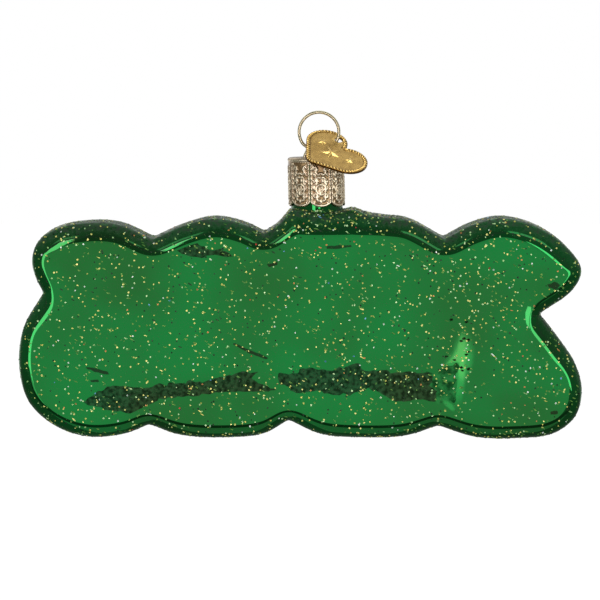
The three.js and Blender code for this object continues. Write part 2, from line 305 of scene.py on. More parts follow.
def join_solids(piece: bpy.types.Object, other: bpy.types.Object, operation: str) -> None:
    """Joins or cuts a piece with another closed piece, which is used up.

    Args:
        piece: Object that keeps the result.
        other: Object that is joined on or cut away.
        operation: UNION or DIFFERENCE.
    """
    step = piece.modifiers.new("solid", "BOOLEAN")
    step.operation = operation
    step.solver = "EXACT"
    step.material_mode = "TRANSFER"
    step.object = other
    apply_modifiers(piece)
    bpy.data.objects.remove(other)


class Nodes:
    """Short hand for a material's node tree."""

    def __init__(self, name: str) -> None:
        """Makes a material with an empty node tree.

        Args:
            name: Name of the material.
        """
        self.material = bpy.data.materials.new(name)
        self.material.use_nodes = True
        self.tree = self.material.node_tree
        self.tree.nodes.clear()

    def add(self, kind: str, inputs: Optional[dict] = None, **settings: object) -> bpy.types.Node:
        """Adds a node.

        Args:
            kind: Blender's type name of the node, without its ShaderNode prefix.
            inputs: Values or linked sockets by input name or number.
            settings: Properties of the node itself.

        Returns:
            The new node.
        """
        node = self.tree.nodes.new("ShaderNode" + kind)
        for name, value in settings.items():
            setattr(node, name, value)
        for name, value in (inputs or {}).items():
            if isinstance(value, Socket):
                self.tree.links.new(value, node.inputs[name])
            else:
                node.inputs[name].default_value = value
        return node

    def place(self) -> Socket:
        """Returns the place on the piece, in metres."""
        return self.add("TexCoord").outputs["Object"]

    def noise(self, feature_mm: float, detail: float = 2.0) -> Socket:
        """Cloudy pattern.

        Args:
            feature_mm: Size of its features.
            detail: Octaves of finer detail.

        Returns:
            The pattern's value, about 0 to 1.
        """
        inputs = {"Vector": self.place(), "Scale": 1 / (feature_mm * MM), "Detail": detail}
        return self.add("TexNoise", inputs).outputs["Fac"]

    def attribute(self, name: str) -> Socket:
        """Returns a number written on the mesh's corners."""
        return self.add("Attribute", attribute_name=name).outputs["Fac"]

    def facing(self, axis: str) -> Socket:
        """Returns how far the surface faces along an axis of the frame, from -1 to 1."""
        normal = self.add("NewGeometry").outputs["Normal"]
        return self.add("SeparateXYZ", {"Vector": normal}).outputs[axis]

    def along(self, direction: Direction) -> Socket:
        """Returns how far the surface faces along a direction of the frame, from -1 to 1."""
        inputs = {0: self.add("NewGeometry").outputs["Normal"], 1: direction}
        return self.add("VectorMath", inputs, operation="DOT_PRODUCT").outputs["Value"]

    def product(self, first: Socket, second: Socket) -> Socket:
        """Returns one number times another."""
        return self.add("Math", {0: first, 1: second}, operation="MULTIPLY").outputs[0]

    def larger(self, first: Socket, second: Socket) -> Socket:
        """Returns the larger of two numbers."""
        return self.add("Math", {0: first, 1: second}, operation="MAXIMUM").outputs[0]

    def spread(self, value: Socket, source: Point = (0.0, 1.0), target: Point = (0.0, 1.0)) -> Socket:
        """Maps a range of numbers smoothly to another.

        Args:
            value: Socket to map.
            source: Range that the numbers come in.
            target: Range that they go to.

        Returns:
            The mapped socket.
        """
        inputs = {"Value": value, "From Min": source[0], "From Max": source[1]}
        inputs |= {"To Min": target[0], "To Max": target[1]}
        return self.add("MapRange", inputs, interpolation_type="SMOOTHSTEP").outputs["Result"]

    def blend(self, share: Socket, first: Tone, second: Tone) -> Socket:
        """Colour between two colours or colour sockets.

        Args:
            share: 0 for the first and 1 for the second.
            first: Colour or socket.
            second: Colour or socket.

        Returns:
            The mixed colour.
        """
        node = self.add("Mix", {"Factor": share}, data_type="RGBA")
        for socket, colour in zip((node.inputs[6], node.inputs[7]), (first, second)):
            if isinstance(colour, Socket):
                self.tree.links.new(colour, socket)
            else:
                socket.default_value = (*colour, 1.0)
        return node.outputs[2]

    def bump(self, height: Socket, height_mm: float) -> Socket:
        """Normal of fine relief.

        Args:
            height: Pattern that gives the height, 0 to 1.
            height_mm: Height where the pattern is 1.

        Returns:
            The normal.
        """
        return self.add("Bump", {"Height": height, "Distance": height_mm * MM}).outputs["Normal"]

    def finish(self, shader: Socket) -> bpy.types.Material:
        """Connects the surface and hands the material over.

        Args:
            shader: Shader socket of the surface.

        Returns:
            The finished material.
        """
        self.add("OutputMaterial", {"Surface": shader})
        return self.material

    def surface(self, inputs: dict) -> bpy.types.Material:
        """Finishes the material as one metal or plastic surface.

        Args:
            inputs: Values and sockets of the surface by input name.

        Returns:
            The finished material.
        """
        return self.finish(self.add("BsdfPrincipled", inputs).outputs["BSDF"])


@dataclass(frozen=True)
class GreenLacquer:
    """Transparent green lacquer over silvered glass, with fine glitter dust on it."""

    fresh: Colour = (0.0065, 0.184, 0.035)
    deep: Colour = (0.0130, 0.124, 0.023)
    dust: Colour = (0.060, 0.095, 0.030)
    grey: Colour = (0.024, 0.034, 0.025)
    polish: float = 0.008
    dust_roughness: float = 0.75
    dust_metal: float = 0.15
    specular: float = 0.25
    coat: float = 0.22
    coat_roughness: float = 0.01
    cloud_mm: float = 24.0
    grain_mm: float = 0.3
    grain_range: Point = (0.68, 0.76)
    wave_mm: float = 4.0
    wave_height_mm: float = 0.0008
    film_mm: float = 0.8
    film_range: Point = (0.25, 0.75)
    film_cover: Point = (0.35, 1.0)
    # How much of the dull film lies on each slope, and where the slope starts and is steep
    top_film: float = 0.95
    top_slope: Point = (0.05, 0.6)
    right_film: float = 0.9
    right_slope: Point = (0.35, 0.8)
    right_direction: Direction = (0.72, 0.0, 0.69)
    side_film: float = 0.8
    side_slope: Point = (-0.8, -0.05)
    front_slope: Point = (0.1, 0.5)

    def film(self, nodes: Nodes) -> Socket:
        """Cover of the dull dust film, which lies on the top and the sides and not on the front.

        Args:
            nodes: The material's nodes.

        Returns:
            The cover, from 0 to 1.
        """
        to_right = nodes.along(self.right_direction)
        on_top = nodes.spread(nodes.facing("Z"), self.top_slope, (0.0, self.top_film))
        on_right = nodes.spread(to_right, self.right_slope, (0.0, self.right_film))
        towards_side = nodes.spread(nodes.facing("Y"), self.side_slope, (0.0, self.side_film))
        before_front = nodes.spread(nodes.facing("Y"), self.front_slope, (1.0, 0.0))
        on_sides = nodes.product(nodes.larger(towards_side, on_right), before_front)
        settled = nodes.spread(nodes.noise(self.film_mm, 4.0), self.film_range, self.film_cover)
        return nodes.product(nodes.larger(on_top, on_sides), settled)

    def material(self) -> bpy.types.Material:
        """Makes the lacquer with its dust.

        Returns:
            Its material.
        """
        nodes = Nodes("green_lacquer")
        thickness = nodes.spread(nodes.noise(self.cloud_mm), CLOUD_RANGE)
        lacquer = nodes.blend(thickness, self.fresh, self.deep)
        grains = nodes.spread(nodes.noise(self.grain_mm, 1.0), self.grain_range)
        film = self.film(nodes)
        cover = nodes.larger(grains, film)
        return nodes.surface({
            "Base Color": nodes.blend(film, nodes.blend(grains, lacquer, self.dust), self.grey),
            "Metallic": nodes.spread(cover, target=(1.0, self.dust_metal)),
            "Roughness": nodes.spread(cover, target=(self.polish, self.dust_roughness)),
            "Specular IOR Level": self.specular,
            "Coat Weight": self.coat,
            "Coat Roughness": self.coat_roughness,
            "Normal": nodes.bump(nodes.noise(self.wave_mm), self.wave_height_mm),
        })


@dataclass(frozen=True)
class SilverLining:
    """Silvering inside the glass, seen through the open neck."""

    bright: Colour = (0.80, 0.80, 0.78)
    dull: Colour = (0.55, 0.56, 0.55)
    roughness: Point = (0.12, 0.35)
    cloud_mm: float = 6.0

    def material(self) -> bpy.types.Material:
        """Makes the silvering.

        Returns:
            Its material.
        """
        nodes = Nodes("silver_lining")
        cloud = nodes.noise(self.cloud_mm, 4.0)
        return nodes.surface({
            "Base Color": nodes.blend(cloud, self.bright, self.dull),
            "Metallic": 1.0,
            "Roughness": nodes.spread(cloud, CLOUD_RANGE, self.roughness),
        })


@dataclass(frozen=True)
class StampedMetal:
    """Thin plated sheet or wire, with painted shade in its recesses and painted highlights on its crests.
    """

    name: str
    # crest is a painted highlight colour and recess a painted shade colour, mixed by the relief attribute;
    # recess is also the colour of the stains
    crest: Colour
    recess: Colour
    polish: float
    grain_mm: float = 0.5
    metal: float = 1.0
    grain_height_mm: float = 0.006
    stain: float = 0.35
    stain_grains: float = 5
    wear_roughness: float = 0.12

    def material(self) -> bpy.types.Material:
        """Makes the metal, which reads the height of its relief from the mesh and paints the crests
        lighter and the recesses darker, as painted highlight and shade.

        Returns:
            Its material.
        """
        nodes = Nodes(self.name)
        # Painted highlight where the relief attribute is high, painted shade where it is low
        depth = nodes.spread(nodes.attribute("relief"), target=(1.0, 0.0))
        painted_light_and_shade = nodes.blend(depth, self.crest, self.recess)
        stains = nodes.noise(self.grain_mm * self.stain_grains, 3.0)
        grain = nodes.noise(self.grain_mm, 3.0)
        roughness = (self.polish, self.polish + self.wear_roughness)
        return nodes.surface({
            "Base Color": nodes.blend(
                nodes.spread(stains, CLOUD_RANGE, (0.0, self.stain)), painted_light_and_shade, self.recess),
            "Metallic": self.metal,
            "Roughness": nodes.spread(grain, CLOUD_RANGE, roughness),
            "Normal": nodes.bump(grain, self.grain_height_mm),
        })


# The glitter foil's cloudy tone and grain, and its shine
FOIL_TONE_MM = 0.9
FOIL_TONE_RANGE: Point = (0.35, 0.65)
FOIL_GRAIN_MM = 0.3
FOIL_METAL = 0.45
FOIL_ROUGHNESS: Point = (0.3, 0.5)


class FlakeColour(Enum):
    """Colours of the glitter: share of all flakes, and the foil's two tones."""

    GOLD = (0.34, (0.93, 0.93, 0.30), (0.58, 0.60, 0.12))
    PALE = (0.18, (0.62, 0.92, 0.46), (0.28, 0.56, 0.19))
    WHITE = (0.045, (0.86, 0.98, 0.86), (0.54, 0.72, 0.57))
    LEAF = (0.30, (0.17, 0.37, 0.06), (0.07, 0.24, 0.04))
    # Near-black flakes that stand in for the shadows of the flakes: painted shadows
    SHADE = (0.16, (0.010, 0.050, 0.016), (0.006, 0.030, 0.010))
    ORANGE = (0.025, (0.72, 0.34, 0.10), (0.42, 0.20, 0.06))
    RED = (0.007, (0.55, 0.05, 0.03), (0.30, 0.03, 0.02))
    BLUE = (0.007, (0.16, 0.42, 0.62), (0.08, 0.26, 0.42))

    def material(self) -> bpy.types.Material:
        """Makes this colour's foil.

        Returns:
            Its material.
        """
        nodes = Nodes(f"glitter_{self.name.lower()}")
        _, bright, dull = self.value
        tone = nodes.spread(nodes.noise(FOIL_TONE_MM, 0.0), FOIL_TONE_RANGE)
        return nodes.surface({
            "Base Color": nodes.blend(tone, bright, dull),
            "Metallic": FOIL_METAL,
            "Roughness": nodes.spread(nodes.noise(FOIL_GRAIN_MM, 0.0), CLOUD_RANGE, FOIL_ROUGHNESS),
        })


@dataclass
class GlassBody:
    """Blown glass shell with a flat back, four puffed lobes across its front and an open neck."""

    width: float = 127.1
    height: float = 51.8
    back_depth: float = 9.0
    front_border: float = 5.5
    puff_rise: float = 9.5
    crease_rise: float = 4.5
    edge_radius: float = 2.6
    top_edge_reach: float = 4.3
    rim_easing: float = 1.2
    rim_passes: float = 1.5
    rim_ceiling: float = -27.2
    puff_edge_reach: float = 14.0
    puff_crease_reach: float = 8.0
    wall: float = 1.0
    neck_length: float = 12.1
    neck_wall: float = NECK_WALL
    cap_wall: float = CAP_WALL
    clearance: float = CLEARANCE
    lip_radius: float = 0.4
    shoulder_radius: float = 8.4
    shoulder_drop: float = 3.0
    notch_round: float = 0.5
    notch_reach: float = 3.0
    ripple_slope: float = 0.0005
    spine: tuple[Point, Point] = ((-50.0, -24.0), (38.0, -24.0))
    # Millimetres right of the neck's axis and above the shoulders, one run between two notches
    runs: Sequence[Sequence[Point]] = (
        ((-61.7, -17.6), (-63.4, -14.3), (-64.3, -10.2), (-62.9, -6.0), (-58.9, -3.1), (-51.9, -1.7),
         (-44.6, -2.1), (-37.0, -5.4)),
        ((-37.0, -5.4), (-30.2, -2.4), (-23.0, -0.7), (-15.9, -2.2), (-11.9, -4.2)),
        ((-11.9, -4.2), (-8.6, -1.9), (-6.2, 0.9), (-3.4, 1.2), (0, 0.4), (5.4, 0.7), (8.2, 1.3),
         (11.0, 0.3), (15.0, -0.4), (20.6, -1.1), (28.8, -5.4)),
        ((28.8, -5.4), (34.7, -2.3), (41.5, -0.7), (49.2, -2.4), (56.0, -6.9), (59.7, -12.4),
         (57.7, -16.9), (50.2, -22.3)),
        ((50.2, -22.3), (54.6, -27.9), (58.4, -33.7), (59.9, -39.8), (58.4, -45.6), (53.5, -49.4),
         (44.9, -50.5), (35.8, -50.2), (27.4, -47.6)),
        ((27.4, -47.6), (20.0, -49.9), (9.8, -50.3), (0.8, -49.5), (-6.4, -46.3)),
        ((-6.4, -46.3), (-12.0, -49.4), (-20.7, -50.3), (-31.0, -49.7), (-37.9, -47.3)),
        ((-37.9, -47.3), (-43.6, -49.5), (-52.0, -50.1), (-59.5, -47.5), (-65.2, -42.1), (-67.3, -34.0),
         (-66.2, -25.3), (-61.7, -17.6)),
    )
    creases: Sequence[tuple[Point, Point]] = (
        ((-37.0, -5.4), (-37.9, -47.3)),
        ((-11.9, -4.2), (-6.4, -46.3)),
        ((28.8, -5.4), (27.4, -47.6)),
        ((-61.7, -17.6), (-37.4, -24.0)),
        ((50.2, -22.3), (28.1, -26.0)),
    )
    outline_points: int = 720
    outline_rings: int = 48
    inner_points: int = 260
    inner_rings: int = 16
    fine_points: int = 8000
    border_points: int = 240
    bend_rings: int = 6
    hub_radius: float = 0.25
    side_shares: Sequence[float] = (0.25, 0.5, 0.75, 1.0)
    front_steps: Sequence[float] = (0.1, 0.35, 0.75, 1.3, 2.0, 2.8)
    top_slopes: Point = (0.2, 0.8)
    ripple_waves: Sequence[float] = (44.0, 36.0, 31.0, 27.0, 22.0, 19.0, 15.0, 12.0)
    ripple_stretch: float = 0.6
    ripple_border: Point = (4.4, 16.0)
    ripple_seed: int = 11
    neck_sides: int = 96
    flare_rings: int = 14
    lip_rings: int = 6
    bore_past_lip: float = 1.0
    lip_lead: float = 2.0
    # Where the shoulder is softened: millimetres out from the neck and from the shoulder's foot, and down
    soft_reach: Point = (0.6, 2.6)
    soft_drop: Point = (0.8, 4.2)
    soft_passes: int = 12
    soft_factor: float = 0.5

    def __post_init__(self) -> None:
        """Takes the neck's place from the frame."""
        low, high = box_mm("glass_neck")
        cap_low, cap_high = box_mm("cap")
        self.axis_x = (low.x + high.x) / 2
        self.neck_radius = (cap_high.x - cap_low.x) / 2 - self.cap_wall - self.clearance
        self.neck_top = high.z
        self.shoulder_top = cap_low.z - self.clearance
        self.body_top = self.neck_top - self.neck_length
        drawn = np.array([p for run in self.runs for p in run])
        self.scale = np.array([self.width, self.height]) / (drawn.max(0) - drawn.min(0))
        fine = self.fine_outline()
        self.border = self.segments(fine[:: len(fine) // self.border_points])
        self.crease_segments = (
            self.placed([a for a, _ in self.creases]),
            self.placed([b for _, b in self.creases]),
        )

    def placed(self, points: Sequence[Point]) -> np.ndarray:
        """Returns drawn points in the frame, as rows of x and z."""
        return np.array(points, float) * self.scale + np.array([self.axis_x, self.body_top])

    def fine_outline(self) -> np.ndarray:
        """Closed outline in fine even steps, with its notches slightly rounded.

        Returns:
            Rows of x and z, clockwise as seen from the back.
        """
        path = np.vstack([curve_through(self.placed(run))[:-1] for run in self.runs])
        closed = np.vstack([path, path[:1]])
        length = lengths_along(closed)
        steps = np.linspace(0, length[-1], self.fine_points, endpoint=False)
        even = at_places(closed, length, steps)
        spread = self.notch_round / (length[-1] / len(steps))
        reach = int(self.notch_reach * spread)
        offsets = np.arange(-reach, reach + 1)
        weights = np.exp(-0.5 * (offsets / spread) ** 2)
        weights /= weights.sum()
        return sum(w * np.roll(even, k, axis=0) for w, k in zip(weights, offsets))

    @staticmethod
    def inwards(loop: np.ndarray) -> np.ndarray:
        """Directions that point into a clockwise loop.

        Args:
            loop: Rows of x and z.

        Returns:
            One direction of length 1 for each point.
        """
        along = unit_rows(np.roll(loop, -1, axis=0) - np.roll(loop, 1, axis=0))
        return np.column_stack([along[:, 1], -along[:, 0]])

    @staticmethod
    def segments(loop: np.ndarray) -> tuple[np.ndarray, np.ndarray]:
        """Returns the starts and ends of a closed loop's segments."""
        return loop, np.roll(loop, -1, axis=0)

    def outline(self, count: int) -> tuple[np.ndarray, np.ndarray]:
        """Outline points, closer together in the notches, where the rounded edge fans out.

        Args:
            count: Number of points.

        Returns:
            The points and their inward directions.
        """
        fine = self.fine_outline()
        inward = self.inwards(fine)
        inner = fine + inward * self.edge_radius
        steps = [np.linalg.norm(np.roll(p, -1, axis=0) - p, axis=1) for p in (fine, inner)]
        length = np.concatenate([[0], np.cumsum(0.5 * (steps[0] + steps[1]))])
        wanted = np.linspace(0, length[-1], count, endpoint=False)
        index = np.arange(len(fine) + 1)
        at = np.interp(wanted, length, index)
        points, directions = (at_places(np.vstack([v, v[:1]]), index, at) for v in (fine, inward))
        return points, unit_rows(directions)

    @staticmethod
    def soft_distance(points: np.ndarray, segments: tuple[np.ndarray, np.ndarray]) -> np.ndarray:
        """Distance to a set of segments, rounded off where several are near.

        Args:
            points: Rows of x and z.
            segments: Starts and ends of the segments.

        Returns:
            One distance for each point.
        """
        starts, ends = segments
        along = ends - starts
        length = np.linalg.norm(along, axis=1)
        from_start = points[:, None, :] - starts[None, :, :]
        start = (from_start * along).sum(2) / length
        cross = from_start[..., 0] * along[:, 1] - from_start[..., 1] * along[:, 0]
        off = np.maximum(np.abs(cross) / length, LEAST_GAP_MM)
        total = (length - start) / np.hypot(off, length - start) + start / np.hypot(off, start)
        return np.sqrt(2 / (total / off**2).sum(1))

    def front_depth(self, points: np.ndarray, wall: float) -> np.ndarray:
        """Depth of the puffed front.

        Args:
            points: Rows of x and z.
            wall: Distance of the wanted skin inside the outer one.

        Returns:
            The y of each point.
        """
        edge_share = (self.soft_distance(points, self.border) - wall) / self.puff_edge_reach
        crease_share = self.soft_distance(points, self.crease_segments) / self.puff_crease_reach
        edge = np.sqrt(1 - (1 - np.clip(edge_share, 0, 1)) ** 2)
        crease = 1 - (1 - np.clip(crease_share, 0, 1)) ** 2
        rise = self.crease_rise + (self.puff_rise - self.crease_rise) * crease
        return self.front_border - wall + edge * rise

    def back_relief(self, points: np.ndarray) -> np.ndarray:
        """Slight ripples of the flat back, positive into the glass.

        Args:
            points: Rows of x and z.

        Returns:
            One depth for each point.
        """
        rng = np.random.default_rng(self.ripple_seed)
        relief = np.zeros(len(points))
        for wave in self.ripple_waves:
            turn, phase = rng.uniform(0, 2 * math.pi, 2)
            number = 2 * math.pi / wave
            across = points @ np.array([self.ripple_stretch * math.cos(turn), math.sin(turn)])
            relief += self.ripple_slope / number * np.sin(number * across + phase)
        return relief * smooth_step(self.soft_distance(points, self.border), *self.ripple_border)

    def slab(self, name: str, count: int, wall: float, fineness: int) -> bpy.types.Object:
        """Closed puffed slab, one wall inside the outer skin.

        Args:
            name: Name of the object.
            count: Points along the outline.
            wall: Distance inside the outer skin.
            fineness: Rings between the border and the middle line.

        Returns:
            The slab.
        """
        outline, inward = self.outline(count)
        back = -self.back_depth + wall
        round_off = self.edge_radius - wall / 2
        flat = outline + inward * wall
        rim = self.back_rim(outline, inward, wall)
        spine = self.placed(self.spine)

        def drawn_in(loop: np.ndarray) -> np.ndarray:
            """Draws a loop in to the hub's radius about the middle line.

            Args:
                loop: Rows of x and z.

            Returns:
                Rows of x and z.
            """
            height = np.full(len(loop), spine[0, 1])
            on_spine = np.column_stack([np.clip(loop[:, 0], *spine[:, 0]), height])
            return on_spine + unit_rows(loop - on_spine) * self.hub_radius

        rings: list[tuple[np.ndarray, np.ndarray]] = []
        hub = drawn_in(rim)
        for share in np.linspace(1, 0, fineness, endpoint=False):
            loop = rim + (hub - rim) * share
            relief = np.zeros(count) if wall else self.back_relief(loop)
            rings.append((loop, back + relief))
        for angle in np.linspace(0, math.pi / 2, max(self.bend_rings, fineness // 3)):
            loop = flat + (rim - flat) * (1 - math.sin(angle))
            rings.append((loop, np.full(count, back + round_off * (1 - math.cos(angle)))))
        for share in self.side_shares:
            depth = back + round_off + (self.front_border - wall - back - round_off) * share
            rings.append((flat, np.full(count, depth)))
        for step in self.front_steps:
            loop = outline + inward * (wall + step)
            rings.append((loop, self.front_depth(loop, wall)))
        rim = rings[-1][0]
        hub = drawn_in(rim)
        for share in np.linspace(0, 1, fineness + 1)[1:]:
            loop = rim + (hub - rim) * share
            rings.append((loop, self.front_depth(loop, wall)))
        vertices = np.vstack([np.column_stack([p[:, 0], y, p[:, 1]]) for p, y in rings])
        faces = ring_faces(count, len(rings))
        faces += [f[::-1] for f in self.across(rings[0][0], 0)]
        faces += self.across(rings[-1][0], (len(rings) - 1) * count)
        return mesh_piece(name, vertices, faces)

    def back_rim(self, outline: np.ndarray, inward: np.ndarray, wall: float) -> np.ndarray:
        """Border of the flat back inside its rounded edge, which reaches further in along the top.

        Args:
            outline: Rows of x and z.
            inward: Inward direction at each point.
            wall: Distance inside the outer skin.

        Returns:
            Rows of x and z, with tight turns eased.
        """
        on_top = smooth_step(-inward[:, 1], *self.top_slopes)
        reach = self.edge_radius + (self.top_edge_reach - self.edge_radius) * on_top + wall / 2
        rim = outline + inward * reach[:, None]
        rim[:, 1] = np.minimum(rim[:, 1], self.rim_ceiling - wall / 2)
        step = np.linalg.norm(np.roll(outline, -1, axis=0) - outline, axis=1).mean()
        return eased(rim, max(1, round(self.rim_passes * (self.rim_easing / step) ** 2)))

    @staticmethod
    def across(loop: np.ndarray, first: int) -> list[Face]:
        """Triangles that fill a slim clockwise loop from end to end.

        Args:
            loop: Rows of x and z.
            first: Number of the loop's first corner.

        Returns:
            List of triangles.
        """
        count = len(loop)
        left = int(np.argmin(loop[:, 0]))
        upper, lower = left + 1, left + count - 1
        faces = [(left, upper, lower)]
        while lower - upper > 1:
            ahead = loop[(upper + 1) % count, 0] <= loop[(lower - 1) % count, 0]
            if ahead or lower - upper == 2:
                faces.append((upper, upper + 1, lower))
                upper += 1
            else:
                faces.append((upper, lower - 1, lower))
                lower -= 1
        return [tuple(first + i % count for i in face) for face in faces]

    def turned(self, name: str, profile: Sequence[Point]) -> bpy.types.Object:
        """Solid of revolution about the neck's axis.

        Args:
            name: Name of the object.
            profile: Radius and height pairs from the lower end to the upper end.

        Returns:
            The solid.
        """
        count = self.neck_sides
        angles = np.linspace(0, 2 * math.pi, count, endpoint=False)
        rows = [
            np.column_stack([self.axis_x + r * np.cos(angles), r * np.sin(angles), np.full(count, z)])
            for r, z in profile
        ]
        return mesh_piece(name, np.vstack(rows), tube_faces(count, len(profile)))

    def neck_profile(self, radius: float, flare_radius: float, lip: float, top: float) -> list[Point]:
        """Profile from inside the body over the flared shoulder to the neck's top.

        Args:
            radius: Radius of the straight neck.
            flare_radius: Radius of the shoulder's foot.
            lip: Radius of the rounding at the top, 0 for none.
            top: Level of the top.

        Returns:
            Radius and height pairs.
        """
        foot = self.shoulder_top - 2 * self.shoulder_drop
        points = [(flare_radius, foot)]
        for angle in np.linspace(math.pi / 2, 0, self.flare_rings):
            points.append((
                radius + (flare_radius - radius) * (1 - math.cos(angle)),
                self.shoulder_top - self.shoulder_drop * math.sin(angle),
            ))
        points.append((radius, top - lip - self.lip_lead))
        for angle in np.linspace(0, math.pi / 2, self.lip_rings) if lip else (0.0,):
            points.append((radius - lip * (1 - math.cos(angle)), top - lip * (1 - math.sin(angle))))
        return points

    def build(self) -> bpy.types.Object:
        """Makes the hollow shell with its neck, lacquered outside and silvered inside.

        Returns:
            The glass shell.
        """
        shell = self.slab("glass_shell", self.outline_points, 0.0, self.outline_rings)
        neck = self.turned("neck", self.neck_profile(
            self.neck_radius, self.shoulder_radius, self.lip_radius, self.neck_top))
        hollow = self.slab("hollow", self.inner_points, self.wall, self.inner_rings)
        bore = self.turned("bore", self.neck_profile(
            self.neck_radius - self.neck_wall, self.shoulder_radius - self.neck_wall, 0.0,
            self.neck_top + self.bore_past_lip))
        green, silver = GreenLacquer().material(), SilverLining().material()
        for part, material in ((shell, green), (neck, green), (hollow, silver), (bore, silver)):
            part.data.materials.append(material)
        join_solids(shell, neck, "UNION")
        join_solids(hollow, bore, "UNION")
        join_solids(shell, hollow, "DIFFERENCE")
        self.soften_shoulder(shell)
        shell.data.shade_smooth()
        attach(shell, "glass_body")
        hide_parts("glass_body", "glass_neck")
        return shell

    def soften_shoulder(self, shell: bpy.types.Object) -> None:
        """Melts the shoulder's foot into the body's top.

        Args:
            shell: The glass shell.
        """
        work = bmesh.new()
        work.from_mesh(shell.data)
        centre = Vector((self.axis_x, 0, self.shoulder_top)) * MM
        inner, outer = self.neck_radius + self.soft_reach[0], self.shoulder_radius + self.soft_reach[1]
        upper, lower = self.soft_drop
        near = [
            v for v in work.verts
            if inner * MM < (v.co - centre).xy.length < outer * MM
            and -lower * MM < v.co.z - centre.z < -upper * MM
        ]
        axes = {"use_axis_x": True, "use_axis_y": True, "use_axis_z": True}
        for _ in range(self.soft_passes):
            bmesh.ops.smooth_vert(work, verts=near, factor=self.soft_factor, **axes)
        work.to_mesh(shell.data)
        work.free()


@dataclass
class Glitter:
    """Small foil flakes that lie on the lacquer, one mesh for each colour."""

    per_square_mm: float = 0.46
    size: Point = (0.31, 0.50)
    dash: Point = (0.95, 0.26)
    dim_dashes: float = 0.75
    dash_share: float = 0.13
    dash_angle: float = -25.0
    thickness: float = 0.03
    tilt: float = 8.0
    lift: float = 0.04
    bottom_crowd: float = 1.2
    bottom_band: float = 3.0
    shoulder_crowd: float = 3.5
    shoulder_reach: Point = (12.0, 4.0)
    below_cap: float = 0.2
    # A slope that faces further sideways than this takes its directions from +Y
    sideways: float = 0.9
    # Spreads of the random draws
    lean_spread: float = 0.6
    turn_spread: float = 9.0
    side_shares: Point = (0.75, 1.0)
    dash_scales: Point = (0.8, 1.15)
    seed: int = 5

    def places(
        self, shell: bpy.types.Object, glass: GlassBody, rng: np.random.Generator
    ) -> tuple[np.ndarray, np.ndarray]:
        """Picks the flakes' places on the lacquered side of the shell.

        Args:
            shell: The glass shell.
            glass: Sizes of the glass.
            rng: Source of the random draws.

        Returns:
            Rows of points and rows of normals.
        """
        mesh = shell.data
        mesh.calc_loop_triangles()
        count = len(mesh.loop_triangles)
        corners, area, finish = np.empty(count * 3, int), np.empty(count), np.empty(count, int)
        mesh.loop_triangles.foreach_get("vertices", corners)
        mesh.loop_triangles.foreach_get("area", area)
        mesh.loop_triangles.foreach_get("material_index", finish)
        points = np.empty(len(mesh.vertices) * 3)
        mesh.vertices.foreach_get("co", points)
        triangles = (points.reshape(-1, 3) / MM)[corners.reshape(-1, 3)]
        middle = triangles.mean(axis=1)
        aside = (middle[:, 0] - glass.axis_x) / self.shoulder_reach[0]
        above = (middle[:, 2] - glass.shoulder_top) / self.shoulder_reach[1]
        crowd = 1 + self.shoulder_crowd * ridge(np.hypot(aside, above), 1.0)
        bottom = glass.body_top - glass.height + self.bottom_band
        crowd += self.bottom_crowd * (middle[:, 2] < bottom)
        lacquered = (finish == 0) * (middle[:, 2] < glass.shoulder_top - self.below_cap)
        weight = area / MM**2 * crowd * lacquered
        chosen = rng.choice(count, int(weight.sum() * self.per_square_mm), p=weight / weight.sum())
        share = np.sort(rng.random((len(chosen), 2)), axis=1)
        mix = np.column_stack([share[:, 0], share[:, 1] - share[:, 0], 1 - share[:, 1]])
        picked = triangles[chosen]
        normal = unit_rows(np.cross(picked[:, 1] - picked[:, 0], picked[:, 2] - picked[:, 0]))
        return (picked * mix[:, :, None]).sum(axis=1), normal

    def build(self, shell: bpy.types.Object, glass: GlassBody) -> list[bpy.types.Object]:
        """Lays the flakes on the shell.

        Args:
            shell: The glass shell.
            glass: Sizes of the glass.

        Returns:
            One object for each colour.
        """
        rng = np.random.default_rng(self.seed)
        points, normal = self.places(shell, glass, rng)
        count = len(points)
        across = np.tile([1.0, 0.0, 0.0], (count, 1))
        across[np.abs(normal[:, 0]) > self.sideways] = (0.0, 1.0, 0.0)
        lean = math.tan(math.radians(self.tilt)) * rng.normal(0, self.lean_spread, (count, 2))
        across = self.square_to(across, normal)
        facing = unit_rows(
            normal + across * lean[:, :1] + np.cross(normal, across) * lean[:, 1:])
        across = self.square_to(across, facing)
        upward = np.cross(facing, across)
        is_dash = rng.random(count) < self.dash_share
        width = rng.uniform(*self.size, count)
        sides = np.column_stack([width, width * rng.uniform(*self.side_shares, count)]) / 2
        sides[is_dash] = np.array(self.dash) / 2 * rng.uniform(*self.dash_scales, (is_dash.sum(), 1))
        turn = np.where(
            is_dash,
            np.radians(self.dash_angle + rng.normal(0, self.turn_spread, count)),
            rng.uniform(0, 2 * math.pi, count),
        )
        corner = np.arange(6) * math.pi / 3
        along = sides[:, :1] * np.cos(corner)
        aside = sides[:, 1:] * np.sin(corner)
        x = along * np.cos(turn)[:, None] - aside * np.sin(turn)[:, None]
        y = along * np.sin(turn)[:, None] + aside * np.cos(turn)[:, None]
        flat = x[:, :, None] * across[:, None, :] + y[:, :, None] * upward[:, None, :]
        half = facing[:, None, :] * self.thickness / 2
        centre = (points + normal * self.lift)[:, None, :] + flat
        corners = np.concatenate([centre + half, centre - half], axis=1)
        shares = np.array([colour.value[0] for colour in FlakeColour])
        kind = rng.choice(len(shares), count, p=shares / shares.sum())
        is_dim = is_dash & (rng.random(count) < self.dim_dashes)
        kind[is_dim] = list(FlakeColour).index(FlakeColour.LEAF)
        return [
            self.flakes(colour, corners[kind == index])
            for index, colour in enumerate(FlakeColour)
        ]

    @staticmethod
    def square_to(across: np.ndarray, normal: np.ndarray) -> np.ndarray:
        """Turns directions square to others.

        Args:
            across: Rows of directions.
            normal: Directions of length 1 that they become square to.

        Returns:
            The turned directions, of length 1.
        """
        return unit_rows(across - normal * (across * normal).sum(axis=1)[:, None])

